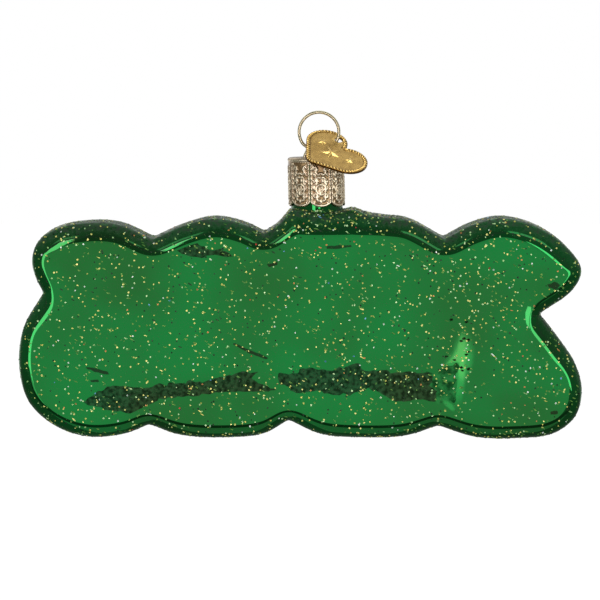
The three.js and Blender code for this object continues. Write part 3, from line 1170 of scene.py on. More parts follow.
    @staticmethod
    def flakes(colour: FlakeColour, corners: np.ndarray) -> bpy.types.Object:
        """Makes the flakes of one colour.

        Args:
            colour: The flakes' colour.
            corners: Twelve corners for each flake, its upper hexagon first.

        Returns:
            The object that holds them.
        """
        one = [tuple(range(6)), tuple(range(11, 5, -1))]
        one += [(k, k + 6, (k + 1) % 6 + 6, (k + 1) % 6) for k in range(6)]
        faces = [tuple(12 * i + k for k in face) for i in range(len(corners)) for face in one]
        name = f"glitter_{colour.name.lower()}"
        piece = mesh_piece(name, corners.reshape(-1, 3), faces, smooth=False)
        piece.data.materials.append(colour.material())
        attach(piece, "glass_body")
        return piece


@dataclass
class CrownCap:
    """Thin stamped cap: a disc with a beaded rim and eight embossed petals folded down."""

    wall: float = CAP_WALL
    rim_radius: float = 0.8
    petals: int = 8
    slit_width: float = 0.16
    slit_top: float = 1.6
    scallop: float = 1.4
    scallop_share: float = 0.995
    tip_width: float = 0.5
    first_slit: float = -13.3
    leg_spacing: float = LEG_SPACING
    wire_hole: float = 0.66
    lean: float = 1.3
    roundel_drop: float = 7.1
    roundel_radius: float = 1.15
    bead_drop: float = 0.62
    bead_count: int = 72
    bead_height: float = 0.16
    bead_width: float = 0.22
    ledge_drop: float = 1.0
    ledge_height: float = 0.05
    ledge_width: float = 0.12
    emboss: float = 0.22
    emboss_from: Point = (0.95, 1.25)
    # Ridges along a petal's edges and end, millimetres inside them
    line_width: float = 0.2
    edge_line: float = 0.22
    end_line: float = 0.28
    end_share: float = 0.98
    inner_line: float = 0.85
    inner_height: float = 0.9
    # Length and depth of the waves in a ridge's height
    edge_beat: Point = (1.1, 0.25)
    inner_beat: Point = (1.6, 0.45)
    # Width and wavelength of a ridge's sideways waves
    slow_wander: Point = (0.12, 1.7)
    fast_wander: Point = (0.08, 2 * math.pi / 11)
    roundel_line: float = 0.19
    flower_radius: float = 0.5
    flower_depth: float = 0.3
    flower_lobes: int = 5
    flower_height: float = 0.85
    # Cosines of the angle from the middle of a ring's gap, where the ring sinks and where it is open
    scroll_gap: Point = (0.45, 0.75)
    # Rings on the right half of a petal: millimetres from its middle and below the cap's top, radius,
    # and the angle of the ring's gap
    scrolls: Sequence[tuple[float, float, float, float]] = (
        (0.62, 3.15, 0.52, 215), (0.55, 4.75, 0.45, 150), (1.30, 5.55, 0.36, 35),
        (1.32, 8.45, 0.38, -35), (0.60, 9.15, 0.42, 200), (1.28, 2.35, 0.34, 20),
    )
    pellets: int = 9
    pellet_radius: float = 0.3
    pellet_squash: float = 0.6
    pellet_height: float = 0.9
    # Bare margins of the pellets at the petal's edges, the cap's top and its lower end
    pellet_margins: tuple[float, float, float] = (0.4, 1.3, 0.8)
    pellet_seed: int = 3
    disc_radii: Sequence[float] = (0.15, 1.5, 3.0, 4.2, 5.0)
    # Painted light on the flat disc between its beads and all over the inside, as shares from the painted
    # shade colour (0) to the painted highlight colour (1)
    disc_shine: float = 0.35
    inner_shine: float = 0.5
    middle_radius: float = 0.1
    wall_from: float = 0.6
    rim_rows: int = 7
    slit_rows: int = 6
    petal_columns: int = 42
    slit_columns: int = 3
    row_height: float = 0.165
    hole_sides: int = 24

    def __post_init__(self) -> None:
        """Takes the cap's place from the frame."""
        low, high = box_mm("cap")
        self.axis_x = (low.x + high.x) / 2
        self.top = high.z
        self.height = high.z - low.z
        self.radius = (high.x - low.x) / 2

    def petal_height(self, across: np.ndarray, drop: np.ndarray) -> np.ndarray:
        """Height of the stamped pattern on a petal.

        Args:
            across: Millimetres from the petal's middle.
            drop: Millimetres below the cap's top.

        Returns:
            Heights from 0 in the recesses to 1 on the crests.
        """
        width = self.line_width

        def beat(length: float, depth: float) -> np.ndarray:
            """Returns a factor that waves down the petal, at most 1."""
            return 1 - depth + depth * np.sin(2 * math.pi * drop / length)

        def scroll(x: float, z: float, radius: float, gap_at: float) -> np.ndarray:
            """Ridge of an open ring.

            Args:
                x: Place of its middle across the petal.
                z: Place of its middle below the cap's top.
                radius: Radius of the ring.
                gap_at: Angle of its gap in degrees.

            Returns:
                Heights from 0 to 1.
            """
            right, down = across - x, drop - z
            angle = np.arctan2(down, right)
            gap = smooth_step(np.cos(angle - math.radians(gap_at)), *self.scroll_gap)
            return ridge(np.hypot(right, down) - radius, width) * (1 - gap)

        half = self.petal_half()
        edge = half - np.abs(across)
        beside = np.clip(np.abs(across) / half, 0, self.end_share)
        end = self.height - self.scallop * (1 - np.sqrt(1 - beside**2)) - drop
        (slow, slow_length), (fast, fast_length) = self.slow_wander, self.fast_wander
        wander = slow * np.sin(2 * math.pi * drop / slow_length + np.sign(across))
        wander += fast * np.sin(2 * math.pi * drop / fast_length)
        marks = [
            ridge(edge - self.edge_line, width) * beat(*self.edge_beat),
            ridge(end - self.end_line, width),
            self.inner_height * ridge(edge - self.inner_line - wander, width) * beat(*self.inner_beat),
        ]
        down = drop - self.roundel_drop
        distance, angle = np.hypot(across, down), np.arctan2(down, across)
        flower = self.flower_radius * (1 + self.flower_depth * np.cos(self.flower_lobes * angle))
        marks.append(ridge(distance - self.roundel_radius, self.roundel_line))
        marks.append(self.flower_height * ridge(distance - flower, width))
        marks.append(ridge(distance, width))
        for x, z, radius, gap_at in self.scrolls:
            marks.append(scroll(x, z, radius, gap_at))
            marks.append(scroll(-x, z, radius, 180 - gap_at))
        rng = np.random.default_rng(self.pellet_seed)
        aside, above, below = self.pellet_margins
        pellet_x = rng.uniform(-half + aside, half - aside, self.pellets)
        pellet_z = rng.uniform(above, self.height - below, self.pellets)
        for x, z in zip(pellet_x, pellet_z):
            distance = np.hypot(across - x, (drop - z) * self.pellet_squash)
            marks.append(self.pellet_height * ridge(distance, self.pellet_radius))
        return np.clip(np.max(marks, axis=0), 0, 1)

    def petal_half(self) -> float:
        """Returns half the width of a petal, measured round the cap."""
        return (math.pi * self.radius / self.petals) - self.slit_width / 2

    def petal_end(self, across: np.ndarray) -> np.ndarray:
        """Scalloped end of a petal.

        Args:
            across: Millimetres from the petal's middle.

        Returns:
            How far below the cap's top the petal ends.
        """
        flat = self.tip_width / 2
        beside = (np.abs(across) - flat) / (self.petal_half() - flat)
        beside = np.clip(beside, 0, self.scallop_share)
        return self.height - self.scallop * (1 - np.sqrt(1 - beside**2))

    def columns(self) -> tuple[np.ndarray, np.ndarray, np.ndarray]:
        """Columns of corners once round the cap.

        Returns:
            Their angles, their places across a petal, and whether a slit starts or lies at them.
        """
        pitch = self.petal_columns + self.slit_columns
        slit_angle = self.slit_width / self.radius
        petal_angle = 2 * math.pi / self.petals - slit_angle
        angles, across, in_slit = [], [], []
        for petal in range(self.petals):
            start = math.radians(self.first_slit) + slit_angle / 2 + petal * 2 * math.pi / self.petals
            for k in range(pitch):
                if k <= self.petal_columns:
                    angle = start + petal_angle * k / self.petal_columns
                    offset = (k / self.petal_columns - 0.5) * 2 * self.petal_half()
                else:
                    angle = start + petal_angle + slit_angle * (k - self.petal_columns) / self.slit_columns
                    offset = self.petal_half()
                angles.append(angle)
                across.append(offset)
                in_slit.append(k >= self.petal_columns)
        return np.array(angles), np.array(across), np.array(in_slit)

    def build(self) -> bpy.types.Object:
        """Makes the cap as one thin closed sheet.

        Returns:
            The cap.
        """
        angles, across, in_slit = self.columns()
        count = len(angles)
        ends = self.petal_end(across)
        profile = [(r, 0.0) for r in self.disc_radii]
        profile += [
            (self.radius - self.rim_radius * (1 - math.sin(a)), self.rim_radius * (1 - math.cos(a)))
            for a in np.linspace(0, math.pi / 2, self.rim_rows)
        ]
        upper = np.linspace(self.rim_radius, self.slit_top, self.slit_rows)[1:]
        lower = np.linspace(0, 1, int((self.height - self.slit_top) / self.row_height))[1:]
        rows = len(profile) + len(upper) + len(lower)
        slit_row = len(profile) + len(upper) - 1
        radius, drop = np.empty((rows, count)), np.empty((rows, count))
        for row, (r, z) in enumerate(profile):
            radius[row], drop[row] = r, z
        for row, z in enumerate(upper, len(profile)):
            radius[row], drop[row] = self.radius, z
        for row, share in enumerate(lower, slit_row + 1):
            radius[row], drop[row] = self.radius, self.slit_top + (ends - self.slit_top) * share
        relief = self.petal_height(np.tile(across, (rows, 1)), drop)
        relief *= smooth_step(drop, *self.emboss_from)
        on_wall = smooth_step(drop, self.rim_radius * self.wall_from, self.rim_radius)
        bead = 0.5 + 0.5 * np.cos(self.bead_count * angles)[None, :]
        beads = bead * ridge(drop - self.bead_drop, self.bead_width)
        ledge = self.ledge_height * ridge(drop - self.ledge_drop, self.ledge_width)
        raised = self.emboss * (relief - 1) + self.bead_height * beads - self.ledge_height + ledge
        outer = radius + np.minimum(raised * on_wall, 0)
        sheet = self.wall
        inside = np.maximum(radius - sheet, self.middle_radius)
        inner_radius = np.where(drop > self.rim_radius, outer - sheet, inside)
        inner_radius = np.where(drop > 0, inner_radius, radius * (1 - sheet / self.radius))
        inner_drop = np.where(drop < self.rim_radius, sheet + drop * (1 - sheet / self.rim_radius), drop)
        vertices = np.vstack([
            self.placed(outer, drop, angles), self.placed(inner_radius, inner_drop, angles)])
        total = rows * count
        outside = [
            face for face in ring_faces(count, rows)
            if not (in_slit[face[0] % count] and face[0] // count >= slit_row)
        ]
        faces = [face[::-1] for face in outside] + [tuple(i + total for i in face) for face in outside]
        faces += [
            (a, b, b + total, a + total) for a, b in open_edges(outside)
            if not (a < count and b < count)
        ]
        faces.append(tuple(range(count)))
        faces.append(tuple(total + i for i in range(count))[::-1])
        used, faces = renumbered(faces)
        cap = mesh_piece("crown_cap", vertices[used], faces)
        # Painted light: the embossed crests and the rim's beads get the painted highlight colour, the
        # recesses and the flat disc the painted shade colour
        on_disc = self.disc_shine + (1 - self.disc_shine) * beads
        height = np.where(drop > self.ledge_drop, relief, on_disc).ravel()
        set_attribute(cap, "relief", np.append(height, np.full(total, self.inner_shine))[used])
        cap.data.materials.append(StampedMetal(
            "cap_champagne", (1.0, 0.88, 0.64), (0.24, 0.155, 0.07), polish=0.15, grain_mm=0.4,
            metal=0.75, grain_height_mm=0.002).material())
        self.drill(cap)
        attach(cap, "cap")
        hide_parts("cap")
        return cap

    def placed(self, radius: np.ndarray, drop: np.ndarray, angles: np.ndarray) -> np.ndarray:
        """Points of the leaning cap.

        Args:
            radius: Distances from the cap's axis, one row for each level.
            drop: Distances below the cap's top, in the same rows.
            angles: Angle of each column, from the front towards +X.

        Returns:
            Rows of x, y and z.
        """
        lean = math.tan(math.radians(self.lean)) * (drop - self.height / 2)
        x = self.axis_x + radius * np.sin(angles)[None, :] + lean
        y = -radius * np.cos(angles)[None, :]
        return np.column_stack([x.ravel(), y.ravel(), (self.top - drop).ravel()])

    def drill(self, cap: bpy.types.Object) -> None:
        """Cuts the two holes for the wire.

        Args:
            cap: The cap.
        """
        count = self.hole_sides
        turn = circle_angles(count)
        for side in (-1, 1):
            x = self.axis_x + side * self.leg_spacing / 2
            rings = [
                np.column_stack([
                    x + self.wire_hole * np.cos(turn), self.wire_hole * np.sin(turn), np.full(count, z)])
                for z in (self.top - 3 * self.wall, self.top + 2 * self.wall)
            ]
            drill = mesh_piece("drill", np.vstack(rings), tube_faces(count, 2))
            drill.data.materials.append(cap.data.materials[0])
            join_solids(cap, drill, "DIFFERENCE")


@dataclass
class WireHanger:
    """One spring wire, bent to an open loop above the cap with two flared legs in the neck."""

    wire: float = WIRE
    loop_radius: float = LOOP_RADIUS
    leg_spacing: float = LEG_SPACING
    leg_straight: float = 2.6
    leg_reach: float = 9.4
    leg_play: float = 1.5
    cap_wall: float = CAP_WALL
    neck_wall: float = NECK_WALL
    clearance: float = CLEARANCE
    # Shares of the way out and up, from the leg's end to where it is straight
    flare: Sequence[Point] = ((1.0, 0.0), (0.7, 0.4), (0.15, 0.8), (0.0, 1.0))
    loop_points: int = 15
    span_steps: int = 10
    end_rings: int = 5
    end_bulge: float = 0.95
    end_radius: float = 0.02
    shine: float = 0.8
    sides: int = 24

    def path(self) -> np.ndarray:
        """Middle line of the wire, from the end of the left leg to the end of the right one.

        Returns:
            Rows of x and z.
        """
        low, high = box_mm("cap")
        axis_x, cap_top, cap_radius = (low.x + high.x) / 2, high.z, (high.x - low.x) / 2
        radius = self.wire / 2
        centre = radius - self.loop_radius
        disc = cap_top - self.cap_wall
        leg_x = self.leg_spacing / 2
        end_x = cap_radius - self.cap_wall - self.neck_wall - 2 * self.clearance - radius
        low_z, high_z = disc - self.leg_reach, disc - self.leg_straight
        leg = [(leg_x + (end_x - leg_x) * out, low_z + (high_z - low_z) * up) for out, up in self.flare]
        leg += [(leg_x, disc - self.leg_play), (leg_x, disc), (leg_x, cap_top + self.clearance)]
        lowest = math.acos(min(leg_x / self.loop_radius, 1.0))
        loop = [
            (self.loop_radius * math.cos(a), centre + self.loop_radius * math.sin(a))
            for a in np.linspace(math.pi + lowest, -lowest, self.loop_points)
        ]
        points = [(axis_x - x, z) for x, z in leg] + loop + [(axis_x + x, z) for x, z in leg[::-1]]
        return curve_through(points, self.span_steps)

    def build(self) -> bpy.types.Object:
        """Makes the wire with rounded ends.

        Returns:
            The wire.
        """
        path = self.path()
        along = unit_rows(np.gradient(path, axis=0))
        steps = np.linspace(0, math.pi / 2, self.end_rings + 1)[1:]
        first, last = (
            np.array([point + way * self.wire / 2 * math.sin(a) * self.end_bulge for a in steps])
            for point, way in ((path[0], -along[0]), (path[-1], along[-1]))
        )
        end_radii = np.maximum(self.wire / 2 * np.cos(steps), self.end_radius)
        centres = np.vstack([first[::-1], path, last])
        radii = np.concatenate([end_radii[::-1], np.full(len(path), self.wire / 2), end_radii])
        along = np.pad(along, ((self.end_rings, self.end_rings), (0, 0)), "edge")
        turn = circle_angles(self.sides)
        side = np.column_stack([along[:, 1], -along[:, 0]])
        rows = []
        for centre, normal, radius in zip(centres, side, radii):
            offset = radius * np.cos(turn)
            rows.append(np.column_stack([
                centre[0] + normal[0] * offset,
                radius * np.sin(turn),
                centre[1] + normal[1] * offset,
            ]))
        faces = [face[::-1] for face in tube_faces(self.sides, len(rows))]
        wire = mesh_piece("wire_loop", np.vstack(rows), faces)
        set_attribute(wire, "relief", np.full(len(wire.data.vertices), self.shine))
        wire.data.materials.append(StampedMetal(
            "wire_plating", (0.95, 0.89, 0.58), (0.38, 0.34, 0.16), polish=0.25, grain_mm=1.4,
            grain_height_mm=0.0005).material())
        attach(wire, "hanger")
        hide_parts("hanger")
        return wire


@dataclass(frozen=True)
class Star:
    """Raised five-pointed star: its place on the tag, radius and height."""

    x: float
    y: float
    radius: float
    height: float
    turn: float = 0.0
    waist_share: float = 0.43

    def level(self, points: np.ndarray) -> np.ndarray:
        """Height of the star at points of the tag.

        Args:
            points: Rows of x and y.

        Returns:
            One height for each point.
        """
        right, up = points[:, 0] - self.x, points[:, 1] - self.y
        sector = math.pi / 5
        angle = np.abs((np.arctan2(right, up) - self.turn + sector) % (2 * sector) - sector)
        waist = self.radius * self.waist_share
        side = np.array([waist * math.cos(sector) - self.radius, waist * math.sin(sector)])
        reach = self.radius * side[1] / (np.cos(angle) * side[1] - np.sin(angle) * side[0])
        return self.height * np.clip(1 - np.hypot(right, up) / reach, 0, 1)


@dataclass
class HeartTag:
    """Stamped heart-shaped tag with a rope border, a hole and raised stars, hanging on the loop."""

    lobe: float = 4.7
    lobe_spread: float = 3.95
    tip_drop: float = 5.83
    tip: float = 2.26
    thickness: float = 0.4
    rope_width: float = 0.95
    rope_height: float = 0.26
    rope_pitch: float = 0.78
    rope_slant: float = 0.85
    rope_rows: int = 10
    groove_share: float = 0.25
    strand_power: float = 0.7
    back_bulge: float = 0.1
    # Painted light of the flat field, between the painted shade colour (0) and the painted highlight
    # colour (1)
    flat_shine: float = 0.45
    hole: Point = (-3.49, 2.95)
    hole_radius: float = 0.92
    hole_offset: float = 0.38
    hole_points: int = 40
    hem_radius: float = 1.3
    hem_width: float = 0.16
    hem_height: float = 0.05
    wire_angle: float = -25.0
    slope: float = 32.4
    roll: float = 8.8
    turn: float = -50.6
    loop_radius: float = LOOP_RADIUS
    loop_centre: float = WIRE / 2 - LOOP_RADIUS
    stars: Sequence[Star] = (
        Star(0.0, -1.6, 2.6, 0.46),
        Star(4.3, 0.6, 1.5, 0.30, 0.3),
        Star(-4.4, -1.0, 1.4, 0.30, -0.3),
    )
    # Steps of the outline and the net, and what the net leaves free beside the rope and the hole
    outline_step: float = 0.09
    arc_points: int = 400
    spacing: float = 0.17
    row_share: float = 0.866
    ring_share: float = 0.9
    hole_share: float = 0.99
    rope_gap: float = 0.1
    hole_gap: float = 0.08
    grid_low: Point = (-9.0, -9.0)
    grid_high: Point = (9.0, 5.5)
    edge_angle: float = 60.0

    def heart(self) -> np.ndarray:
        """Outline of the heart in even steps.

        Returns:
            Rows of x and y, anticlockwise.
        """
        reach = math.hypot(self.lobe_spread, self.tip_drop)
        side = math.atan2(self.tip_drop, self.lobe_spread) - math.acos((self.tip - self.lobe) / reach)
        notch = math.acos(-self.lobe_spread / self.lobe)
        arcs = (
            (0.0, -self.tip_drop, self.tip, math.pi - side, 2 * math.pi + side),
            (self.lobe_spread, 0.0, self.lobe, side, notch),
            (-self.lobe_spread, 0.0, self.lobe, math.pi - notch, math.pi - side),
        )
        fine = []
        for x, y, radius, start, end in arcs:
            if end < start:
                end += 2 * math.pi
            for a in np.linspace(start, end, self.arc_points, endpoint=False):
                fine.append((x + radius * math.cos(a), y + radius * math.sin(a)))
        fine = np.array(fine + fine[:1])
        length = lengths_along(fine)
        count = int(length[-1] / self.outline_step)
        return at_places(fine, length, np.linspace(0, length[-1], count, endpoint=False))

    def nearest(self, points: np.ndarray, outline: np.ndarray) -> tuple[np.ndarray, np.ndarray]:
        """Distance to the outline and the place along it that is nearest.

        Args:
            points: Rows of x and y.
            outline: The heart's outline in even steps.

        Returns:
            Distances and places along the outline, in millimetres.
        """
        gap = np.linalg.norm(points[:, None, :] - outline[None, :, :], axis=2)
        index = gap.argmin(axis=1)
        along = unit_rows(outline[(index + 1) % len(outline)] - outline[index - 1])
        off = points - outline[index]
        forward = (off * along).sum(axis=1)
        step = np.linalg.norm(outline[1] - outline[0])
        distance = np.sqrt(np.maximum((off**2).sum(axis=1) - forward**2, 0))
        return distance, index * step + forward

    def level(self, points: np.ndarray, outline: np.ndarray) -> np.ndarray:
        """Height of the tag's upper face above its middle plane.

        Args:
            points: Rows of x and y.
            outline: The heart's outline in even steps.

        Returns:
            One height for each point.
        """
        distance, place = self.nearest(points, outline)
        length = len(outline) * np.linalg.norm(outline[1] - outline[0])
        pitch = length / round(length / self.rope_pitch)
        across = np.clip(distance / self.rope_width, 0, 1)
        strand = 0.5 + 0.5 * np.cos(2 * math.pi * (place / pitch + self.rope_slant * (across - 0.5)))
        groove = self.groove_share + (1 - self.groove_share) * strand**self.strand_power
        rope = self.rope_height * self.round_top(distance) * groove
        raised = [star.level(points) for star in self.stars]
        hem = self.hem_height * ridge(self.from_hole(points) - self.hem_radius, self.hem_width)
        return self.thickness / 2 + rope + np.max(raised, axis=0) + hem

    def round_top(self, distance: np.ndarray) -> np.ndarray:
        """Round crown of the rope.

        Args:
            distance: Distances from the tag's outline.

        Returns:
            Heights from 0 to 1.
        """
        across = np.clip(distance / self.rope_width, 0, 1)
        return np.sqrt(np.clip(1 - (2 * across - 1) ** 2, 0, 1))

    def from_hole(self, points: np.ndarray) -> np.ndarray:
        """Returns the distances of points from the hole's middle."""
        return np.linalg.norm(points - self.hole, axis=1)

    def net(self, outline: np.ndarray) -> tuple[np.ndarray, list[Face]]:
        """Flat net of triangles over the heart, with its hole left open.

        Args:
            outline: The heart's outline in even steps.

        Returns:
            Rows of x and y, and the triangles.
        """
        turn = circle_angles(self.hole_points)
        hole = np.array(self.hole) + self.hole_radius * np.column_stack([np.cos(turn), np.sin(turn)])
        along = np.roll(outline, -1, axis=0) - np.roll(outline, 1, axis=0)
        inward = unit_rows(np.column_stack([-along[:, 1], along[:, 0]]))
        rings = []
        for reach in np.arange(1, self.rope_rows + 1) * self.rope_width / self.rope_rows:
            ring = outline + inward * reach
            rings.append(ring[self.nearest(ring, outline)[0] > self.ring_share * reach])
        grid_x, grid_y = np.meshgrid(
            np.arange(self.grid_low[0], self.grid_high[0], self.spacing),
            np.arange(self.grid_low[1], self.grid_high[1], self.spacing * self.row_share),
        )
        grid_x[1::2] += self.spacing / 2
        grid = np.column_stack([grid_x.ravel(), grid_y.ravel()])
        clear = self.nearest(grid, outline)[0] > self.rope_width + self.rope_gap
        free = np.vstack([*rings, grid[self.inside(grid, outline) & clear]])
        free = free[self.from_hole(free) > self.hole_radius + self.hole_gap]
        fixed = loop_edges(len(outline)) + loop_edges(len(hole), len(outline))
        points = np.vstack([outline, hole, free])
        result = delaunay_2d_cdt([Vector(p) for p in points], fixed, [], 0, CLOSE_MM)
        flat = np.array([tuple(p) for p in result[0]])
        middle = np.array([flat[list(face)].mean(axis=0) for face in result[2]])
        solid = self.from_hole(middle) > self.hole_radius * self.hole_share
        kept = self.inside(middle, outline) & solid
        return flat, [tuple(face) for face, keep in zip(result[2], kept) if keep]

    def build(self) -> bpy.types.Object:
        """Makes the tag as one closed stamped plate.

        Returns:
            The tag.
        """
        outline = self.heart()
        flat, triangles = self.net(outline)
        count = len(flat)
        upper = self.level(flat, outline)
        distance, _ = self.nearest(flat, outline)
        half = self.thickness / 2
        lower = -half - self.back_bulge * self.round_top(distance)
        faces = triangles + [tuple(i + count for i in face[::-1]) for face in triangles]
        faces += [(b, a, a + count, b + count) for a, b in open_edges(triangles)]
        vertices = np.vstack([np.column_stack([flat, upper]), np.column_stack([flat, lower])])
        used, faces = renumbered(faces)
        # Painted light: the rope's strands and the stars get the painted highlight colour, the grooves
        # between strands and the rope's edges the painted shade colour
        relief = np.concatenate([upper - half, -lower - half]) / self.rope_height
        on_rope = np.tile(distance < self.rope_width, 2)
        shine = self.flat_shine + np.where(on_rope, (1 - self.flat_shine) * (2 * relief - 1), relief)
        tag = mesh_piece("heart_tag_stamped", self.placed(vertices[used]), faces)
        set_attribute(tag, "relief", np.clip(shine[used], 0, 1))
        tag.data.set_sharp_from_angle(angle=math.radians(self.edge_angle))
        tag.data.materials.append(StampedMetal(
            "tag_brass", (1.0, 0.69, 0.21), (0.14, 0.06, 0.005), polish=0.22, grain_mm=0.3,
            metal=0.85, grain_height_mm=0.003).material())
        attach(tag, "heart_tag")
        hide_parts("heart_tag")
        return tag

    @staticmethod
    def inside(points: np.ndarray, loop: np.ndarray) -> np.ndarray:
        """Tells which points lie inside a loop.

        Args:
            points: Rows of x and y.
            loop: Rows of x and y.

        Returns:
            True or false for each point.
        """
        odd = np.zeros(len(points), bool)
        for (ax, ay), (bx, by) in zip(loop, np.roll(loop, -1, axis=0)):
            crosses = (ay > points[:, 1]) != (by > points[:, 1])
            if ay != by:
                odd ^= crosses & (points[:, 0] < ax + (points[:, 1] - ay) * (bx - ax) / (by - ay))
        return odd

    def placed(self, points: np.ndarray) -> np.ndarray:
        """Puts the tag on the wire, as it hangs at rest.

        Args:
            points: Rows of x, y and height in the tag's own plane.

        Returns:
            Rows of x, y and z in the frame.
        """
        slope, roll, turn = (math.radians(a) for a in (self.slope, self.roll, self.turn))
        hang = Matrix.Rotation(roll, 3, "Y") @ Matrix.Rotation(slope, 3, "X")
        turned = hang @ Matrix.Rotation(turn, 3, "Z")
        at = math.radians(self.wire_angle)
        right, up = self.loop_radius * math.cos(at), self.loop_radius * math.sin(at)
        wire = Vector((right, 0, self.loop_centre + up))
        start = wire + hang @ Vector((self.hole_offset, 0, 0)) - turned @ Vector((*self.hole, 0))
        return points @ np.array(turned).T + np.array(start)


# Middle of the cards' spheres, in millimetres
CARD_CENTRE = np.array([MIDDLE_X, 0.0, -45.0])
# Darkest and brightest patches of a grainy card, as shares of its strength
PATCHES: Point = (0.4, 1.6)
PATCH_RANGE: Point = (0.32, 0.68)
LAMP_WHITE: Colour = (1.0, 0.80, 0.88)
DARK_WARM: Colour = (1.0, 0.29, 0.48)
MID_WARM: Colour = (1.0, 0.9, 0.95)
GLOW_WARM: Colour = (0.85, 0.56, 0.56)
GLINT_WARM: Colour = (1.0, 0.66, 0.76)


@dataclass(frozen=True)
class Card:
    """Patch of the studio round the ornament that is brighter or darker than the white room."""

    name: str
    azimuth: Point
    elevation: Point
    strength: float
    distance: float = 1400.0
    tint: Colour = WHITE
    lights: Optional[str] = None
    columns: int = 25
    rows: int = 13

    def build(self, pieces: dict[str, bpy.types.Object]) -> bpy.types.Object:
        """Makes the card as a curved sheet that only mirrors see.

        Args:
            pieces: The ornament's pieces by name, of which a card can light one alone.

        Returns:
            The card.
        """
        turns = np.radians(np.linspace(*self.azimuth, self.columns))
        rows = []
        for tilt in np.radians(np.linspace(*self.elevation, self.rows)):
            out, up = math.cos(tilt), np.full(self.columns, math.sin(tilt))
            rows.append(self.distance * np.column_stack([np.sin(turns) * out, -np.cos(turns) * out, up]))
        faces = ring_faces(self.columns, self.rows, closed=False)
        card = mirror_only(
            mesh_piece(self.name, np.vstack(rows) + CARD_CENTRE, faces),
            self.strength,
            self.tint,
            clear=self.lights is not None,
        )
        if self.lights:
            lit = bpy.data.collections.new(f"lit_by_{self.name}")
            lit.objects.link(pieces[self.lights])
            card.light_linking.receiver_collection = lit
        return card


def mirror_only(
    card: bpy.types.Object, strength: float, tint: Colour, soft: bool = False, clear: bool = False,
    grain_mm: float = 0.0
) -> bpy.types.Object:
    """Dresses a card that shows in mirroring surfaces and nowhere else.

    Args:
        card: The card's sheet.
        strength: Brightness, where 1 is white.
        tint: Colour of its light.
        soft: Whether the card fades out where its attribute fade falls to 0.
        clear: Whether what lies behind the card shows through its light.
        grain_mm: Size of the patches in its brightness, 0 for none.

    Returns:
        The card.
    """
    nodes = Nodes(card.name)
    glow: object = strength
    if grain_mm:
        patches = (strength * PATCHES[0], strength * PATCHES[1])
        glow = nodes.spread(nodes.noise(grain_mm, 3.0), PATCH_RANGE, patches)
    light = nodes.add("Emission", {"Color": (*tint, 1), "Strength": glow}).outputs[0]
    if soft:
        behind = nodes.add("BsdfTransparent").outputs[0]
        fade = nodes.spread(nodes.attribute("fade"))
        light = nodes.add("MixShader", {0: fade, 1: behind, 2: light}).outputs[0]
    if clear:
        behind = nodes.add("BsdfTransparent").outputs[0]
        light = nodes.add("AddShader", {0: behind, 1: light}).outputs[0]
    material = nodes.finish(light)
    material.cycles.emission_sampling = "NONE"
    card.data.materials.append(material)
    card.visible_camera = False
    card.visible_diffuse = False
    card.visible_shadow = False
    card.visible_transmission = False
    card.visible_volume_scatter = False
    return card


@dataclass(frozen=True)
class Reflection:
    """Sheet before the ornament that the flat back mirrors, drawn as it shows on the back.

    The outline is in millimetres in the frame's x and z, on the flat back.
    """

    name: str
    outline: Sequence[Point]
    strength: float = 0.9
    ragged: float = 0.1
    seed: int = 1
    tint: Colour = DARK_WARM
    soft: bool = False
    sheet_y: float = -350.0
    grain_mm: float = 0.0
    outline_step: float = 0.35
    least_points: int = 24
    ragged_passes: int = 2
    # Rings inside the outline: shares of its size, and for a soft sheet how much light each gives
    hard_rings: Sequence[float] = (1.0, 0.5)
    soft_rings: Sequence[Point] = ((1.0, 0.0), (0.78, 0.45), (0.55, 0.85), (0.3, 1.0))

    def build(self, studio: "Studio", back_y: float) -> bpy.types.Object:
        """Makes the sheet where the camera sees its mirror image inside the outline.

        Args:
            studio: The studio, for the camera's place.
            back_y: Place of the flat back.

        Returns:
            The sheet.
        """
        rng = np.random.default_rng(self.seed)
        corners = np.array([*self.outline, self.outline[0]], float)
        length = lengths_along(corners)
        count = max(self.least_points, int(length[-1] / self.outline_step))
        loop = at_places(corners, length, np.linspace(0, length[-1], count, endpoint=False))
        loop += eased(rng.normal(0, 1, (count, 2)), self.ragged_passes) * self.ragged
        centre = loop.mean(axis=0)
        shares, fades = zip(*self.soft_rings) if self.soft else (self.hard_rings, ())
        flat = np.vstack([centre + (loop - centre) * share for share in shares])
        eye = Vector(studio.eye())
        mirrored = np.array([eye.x, 2 * back_y - eye.y, eye.z])
        reach = (self.sheet_y - mirrored[1]) / (back_y - mirrored[1])
        points = np.column_stack([flat[:, 0], np.full(len(flat), back_y), flat[:, 1]])
        points = mirrored + (points - mirrored) * reach
        faces = ring_faces(count, len(shares))
        innermost = [Vector(p) for p in flat[-count:]]
        triangles = delaunay_2d_cdt(innermost, loop_edges(count), [], 1, CLOSE_MM)[2]
        faces += [tuple(len(flat) - count + i for i in face) for face in triangles]
        sheet = mesh_piece(self.name, points, faces)
        if self.soft:
            set_attribute(sheet, "fade", np.repeat(fades, count))
        return mirror_only(sheet, self.strength, self.tint, self.soft, grain_mm=self.grain_mm)


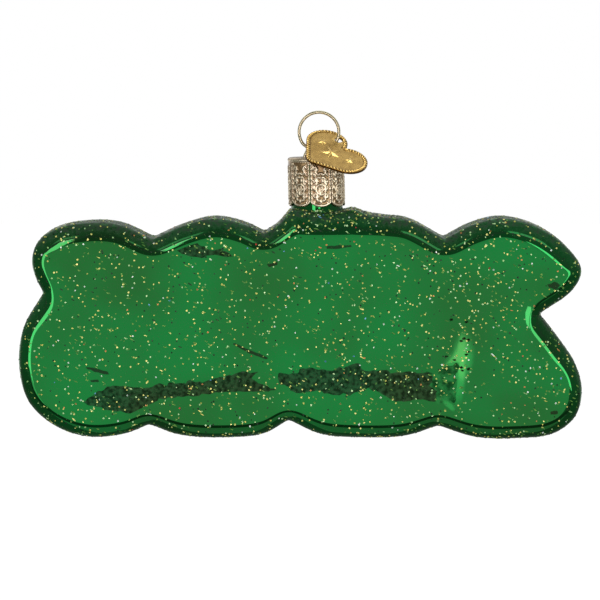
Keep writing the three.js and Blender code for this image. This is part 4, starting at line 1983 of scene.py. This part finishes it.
@dataclass
class Studio:
    """Camera, floor, light and the cards that a shiny object mirrors."""

    distance: float = 1000.0
    elevation: float = 4.0
    frame_width: float = 136.2
    aim_x: float = MIDDLE_X
    aim_z: float = -42.25
    floor_level: float = -500.0
    cards: Sequence[Card] = (
        Card("canopy", (-180, 180), (46, 80), 0.22, 1500.0),
        Card("dark_front", (-6.5, 6.5), (1, 46), 0.22, 1500.0),
        Card("dark_left", (-125, -6.5), (-18, 46), 0.28, 1500.0),
        Card("dark_right", (6.5, 125), (-12, 46), 0.28, 1500.0),
        Card("dark_back", (125, 235), (2, 14), 0.22, 1500.0),
        Card("floor_line", (-30, 30), (-20, -9.5), 0.12, 440.0),
        Card("grey_floor", (-22, 28), (-76, -20), 0.6, 435.0),
        Card("low_left", (-125, -22), (-78, -9.5), 0.22, 445.0),
        Card("low_right", (28, 125), (-78, -9.5), 0.22, 445.0),
        Card("low_back", (125, 235), (-78, -14), 0.22, 450.0),
        Card("under_dark", (-180, 180), (-90, -76), 0.22, 430.0),
        Card("left_strip", (-20, -7), (-6, 9), 5.0, tint=LAMP_WHITE),
        Card("left_low", (-13, -7), (-9, -6), 1.8),
        Card("left_box", (-14, -8), (9, 15), 5.0, tint=LAMP_WHITE),
        Card("left_high", (-20, -9), (19, 25), 1.2),
        Card("right_strip", (7, 15), (-5.5, 3), 5.0, tint=LAMP_WHITE),
        Card("right_high", (8, 24), (18, 25), 1.5),
        Card("tag_window", (115, 200), (50, 84), 1.0),
        Card("cap_window", (17, 66), (-11, 30), 2.2, 1300.0, lights="cap"),
        Card("cap_side", (66, 120), (-11, 30), 0.2, 1300.0, lights="cap"),
        Card("cap_glint", (-62, -38), (-17, 35), 1.8, 1300.0, lights="cap"),
        Card("tag_glint", (-70, 70), (52, 80), 3.6, 1300.0, lights="tag"),
    )
    # Marks on the flat back, in millimetres
    reflections: Sequence[Reflection] = (
        Reflection("left_streak", (
            (-53.1, -64.3), (-49.9, -62.1), (-47.7, -61.3), (-44.6, -61.0), (-40.4, -61.6), (-38.2, -60.8),
            (-33.5, -59.9), (-28.7, -59.7), (-24.0, -59.5), (-20.8, -58.8), (-16.1, -58.3), (-13.8, -58.6),
            (-14.7, -59.5), (-13.1, -60.4), (-9.6, -61.0), (-9.8, -61.6), (-13.2, -61.2), (-14.1, -60.9),
            (-17.6, -61.6), (-22.3, -61.9), (-27.1, -62.9), (-31.8, -63.5), (-37.5, -64.0), (-41.1, -65.8),
            (-41.4, -66.7), (-43.6, -67.2), (-49.3, -66.0), (-52.2, -65.4),
        ), strength=1.0, ragged=0.5, seed=2, grain_mm=1.1),
        Reflection("right_streak", (
            (-9.8, -58.7), (-4.8, -58.1), (-3.5, -56.8), (0.0, -57.5), (4.2, -57.0), (8.0, -56.8),
            (10.5, -58.1), (14.9, -57.9), (16.5, -59.0), (22.2, -58.9), (25.4, -58.7), (25.2, -58.9),
            (26.4, -59.8), (25.0, -61.3), (26.6, -62.9), (25.7, -64.6), (20.7, -64.9), (16.5, -64.4),
            (13.7, -62.2), (11.1, -61.9), (8.0, -62.9), (4.2, -63.2), (-1.6, -62.2), (-5.4, -62.1),
            (-6.6, -61.0), (-9.2, -60.5),
        ), strength=1.0, ragged=0.5, seed=3, grain_mm=1.1),
        Reflection("streak_end", (
            (22.5, -59.6), (27.6, -57.7), (29.6, -56.4), (31.6, -56.0), (31.9, -56.8), (31.2, -58.8),
            (31.5, -60.4), (30.1, -61.7), (31.0, -63.6), (30.8, -64.9), (27.6, -65.1), (23.0, -64.2),
        ), strength=0.85, ragged=0.5, seed=4, tint=MID_WARM, sheet_y=-353.0, grain_mm=2.2),
        Reflection("top_mark", (
            (-32.3, -29.9), (-30.5, -29.0), (-29.2, -28.3), (-27.1, -28.6), (-25.8, -29.4), (-22.4, -30.2),
            (-20.1, -30.5), (-19.0, -31.2), (-20.4, -31.6), (-22.4, -31.0), (-25.8, -31.3), (-27.9, -31.9),
            (-30.1, -31.4),
        ), strength=1.0, ragged=0.45, seed=5, grain_mm=1.1),
        Reflection("neck_mark", (
            (1.8, -29.7), (4.3, -29.5), (7.2, -29.3), (7.3, -29.8), (4.3, -30.2), (1.9, -30.3),
        ), ragged=0.08, seed=6),
        Reflection("glow_halo", (
            (33.2, -46.2), (35.1, -48.2), (35.7, -50.4), (35.8, -53.2), (35.4, -55.4), (34.9, -57.7),
            (33.9, -59.5), (33.0, -62.9), (32.0, -65.8), (30.8, -66.9), (30.1, -65.8), (31.2, -63.6),
            (31.0, -61.3), (30.1, -58.6), (29.6, -56.8), (27.4, -56.6), (28.6, -54.5), (30.0, -52.2),
            (30.7, -50.0), (31.6, -47.7),
        ), strength=2.1, ragged=0.15, seed=7, tint=WHITE, soft=True, sheet_y=-365.0),
        Reflection("glow_core", (
            (32.6, -47.3), (33.5, -48.4), (34.0, -50.0), (34.5, -51.8), (34.4, -53.4), (33.9, -55.0),
            (33.5, -56.3), (33.5, -58.1), (33.2, -60.2), (32.6, -61.3), (31.7, -60.8), (31.3, -59.5),
            (31.9, -57.7), (32.1, -56.3), (31.0, -55.7), (29.6, -55.9), (28.5, -56.3), (29.4, -55.0),
            (30.3, -53.4), (31.2, -51.3), (31.9, -49.3),
        ), strength=6.0, ragged=0.12, seed=14, tint=GLOW_WARM, soft=True, sheet_y=-358.0),
        Reflection("glow_foot", (
            (27.8, -64.2), (29.2, -64.9), (30.3, -65.6), (31.0, -66.5), (30.5, -66.9), (29.4, -66.5),
            (28.3, -65.6), (27.6, -64.9),
        ), strength=1.9, ragged=0.15, seed=15, tint=WHITE, soft=True, sheet_y=-347.0),
        Reflection("notch_glint", (
            (46.9, -43.1), (46.4, -44.3), (46.4, -45.7), (46.7, -47.0), (47.3, -47.9), (48.4, -49.1),
            (48.2, -47.7), (47.9, -46.1), (47.7, -44.3), (47.7, -43.2),
        ), strength=6.0, ragged=0.06, seed=16, tint=GLINT_WARM),
        Reflection("left_scratch", (
            (-52.1, -56.6), (-49.8, -57.0), (-47.3, -57.4), (-47.1, -58.2), (-50.4, -57.7), (-52.0, -57.2),
        ), ragged=0.12, seed=8),
        Reflection("small_scratch", (
            (-51.4, -59.6), (-49.5, -59.5), (-49.4, -60.0), (-51.2, -60.1),
        ), ragged=0.05, seed=9),
        Reflection("middle_scratch", (
            (-18.9, -51.3), (-14.8, -53.2), (-11.2, -54.8), (-11.6, -55.2), (-15.6, -53.7), (-19.0, -51.8),
        ), ragged=0.12, seed=10),
        Reflection("upper_scratch", (
            (-11.7, -33.2), (-9.3, -32.7), (-9.2, -33.4), (-11.2, -33.8),
        ), seed=11),
        Reflection("right_scratch", (
            (51.2, -38.0), (53.0, -37.6), (54.3, -38.3), (53.2, -39.2), (51.6, -38.8),
        ), ragged=0.2, seed=12),
        Reflection("corner_scratch", (
            (52.0, -66.8), (53.6, -66.6), (53.8, -67.5), (52.3, -67.6),
        ), seed=13),
    )

    # Dark crumbs in the glow, in millimetres on the flat back
    specks: Sequence[Point] = (
        (33.0, -49.6), (33.9, -49.9), (32.4, -50.2), (33.9, -52.8), (33.5, -53.5), (29.0, -54.1),
        (30.8, -54.9), (32.4, -56.8), (33.9, -57.1), (33.5, -45.9), (30.2, -45.3), (32.6, -57.6),
    )
    speck_radius: float = 0.34
    speck_stretch: float = 1.3
    speck_strength: float = 0.3
    speck_ragged: float = 0.12
    speck_sheet_y: float = -344.0
    first_speck_seed: int = 30
    floor_half: float = 9000.0
    floor_grey: float = 0.8
    floor_lift: float = 0.25
    clip_m: Point = (0.05, 20.0)

    def camera(self) -> bpy.types.Object:
        """Makes the camera at the photograph's view, looking along +Y and slightly down.

        Returns:
            The camera.
        """
        data = bpy.data.cameras.new("view")
        data.lens = data.sensor_width * self.distance / self.frame_width
        data.clip_start, data.clip_end = self.clip_m
        camera = bpy.data.objects.new("view", data)
        aim = Vector((self.aim_x, 0, self.aim_z))
        camera.location = self.eye() * MM
        camera.rotation_mode = "QUATERNION"
        camera.rotation_quaternion = (aim - self.eye()).to_track_quat("-Z", "Y")
        bpy.context.scene.collection.objects.link(camera)
        bpy.context.scene.camera = camera
        return camera

    def eye(self) -> Vector:
        """Place of the camera.

        Returns:
            Its x, y and z in millimetres.
        """
        tilt = math.radians(self.elevation)
        back = Vector((0, -math.cos(tilt), math.sin(tilt)))
        return Vector((self.aim_x, 0, self.aim_z)) + back * self.distance

    def world(self) -> None:
        """Makes plain white surroundings, which also light the ornament."""
        world = bpy.data.worlds.new("white")
        world.use_nodes = True
        bpy.context.scene.world = world
        background = world.node_tree.nodes["Background"]
        background.inputs["Color"].default_value = (*WHITE, 1)
        background.inputs["Strength"].default_value = 1.0

    def floor(self) -> bpy.types.Object:
        """Makes the pale floor, a little brighter to the camera and in mirrors.

        Returns:
            The floor.
        """
        corners = np.array([(-1, -1, 0), (1, -1, 0), (1, 1, 0), (-1, 1, 0)]) * self.floor_half
        floor = mesh_piece("floor", corners + (0, 0, self.floor_level), [(0, 1, 2, 3)])
        nodes = Nodes("floor_white")
        paths = nodes.add("LightPath")
        seen = nodes.add("Math", {0: paths.outputs["Is Camera Ray"], 1: paths.outputs["Is Glossy Ray"]},
                         operation="ADD", use_clamp=True)
        lift = nodes.add("Emission", {"Color": (*WHITE, 1), "Strength": self.floor_lift})
        none = nodes.add("Emission", {"Strength": 0.0})
        paint = nodes.add("BsdfDiffuse", {"Color": (*[self.floor_grey] * 3, 1)})
        extra = nodes.add("MixShader", {0: seen.outputs[0], 1: none.outputs[0], 2: lift.outputs[0]})
        both = nodes.add("AddShader", {0: paint.outputs[0], 1: extra.outputs[0]})
        floor.data.materials.append(nodes.finish(both.outputs[0]))
        return floor

    def speck(self, number: int, x: float, z: float) -> Reflection:
        """Dark crumb of the glow.

        Args:
            number: Number of the crumb.
            x: Its place on the flat back.
            z: Its height on the flat back.

        Returns:
            The crumb's sheet, not yet built.
        """
        turns = [math.radians(60 * k) for k in range(6)]
        wide, high = self.speck_radius * self.speck_stretch, self.speck_radius
        outline = [(x + wide * math.cos(a), z + high * math.sin(a)) for a in turns]
        return Reflection(
            f"speck_{number}", outline, self.speck_strength, self.speck_ragged,
            self.first_speck_seed + number, sheet_y=self.speck_sheet_y)

    def build(self, back_y: float, pieces: dict[str, bpy.types.Object]) -> None:
        """Sets up the camera, the floor, the white room and what the ornament mirrors.

        Args:
            back_y: Place of the ornament's flat back.
            pieces: The ornament's pieces by name, of which a card can light one alone.
        """
        self.camera()
        self.world()
        self.floor()
        for card in self.cards:
            card.build(pieces)
        for reflection in self.reflections:
            reflection.build(self, back_y)
        for number, (x, z) in enumerate(self.specks):
            self.speck(number, x, z).build(self, back_y)


def main() -> None:
    """Builds the ornament and its studio, and reports each piece."""
    logging.basicConfig(level=logging.INFO, format="%(message)s")
    scene = bpy.context.scene
    scene.view_settings.view_transform = "Standard"
    glass = GlassBody()
    shell = glass.build()
    cap, tag = CrownCap().build(), HeartTag().build()
    pieces = [shell, *Glitter().build(shell, glass), cap, WireHanger().build(), tag]
    Studio().build(-glass.back_depth, {"cap": cap, "tag": tag})
    for piece in pieces:
        log.info("%s: %d faces", piece.name, len(piece.data.polygons))


if __name__ == "__main__":
    main()
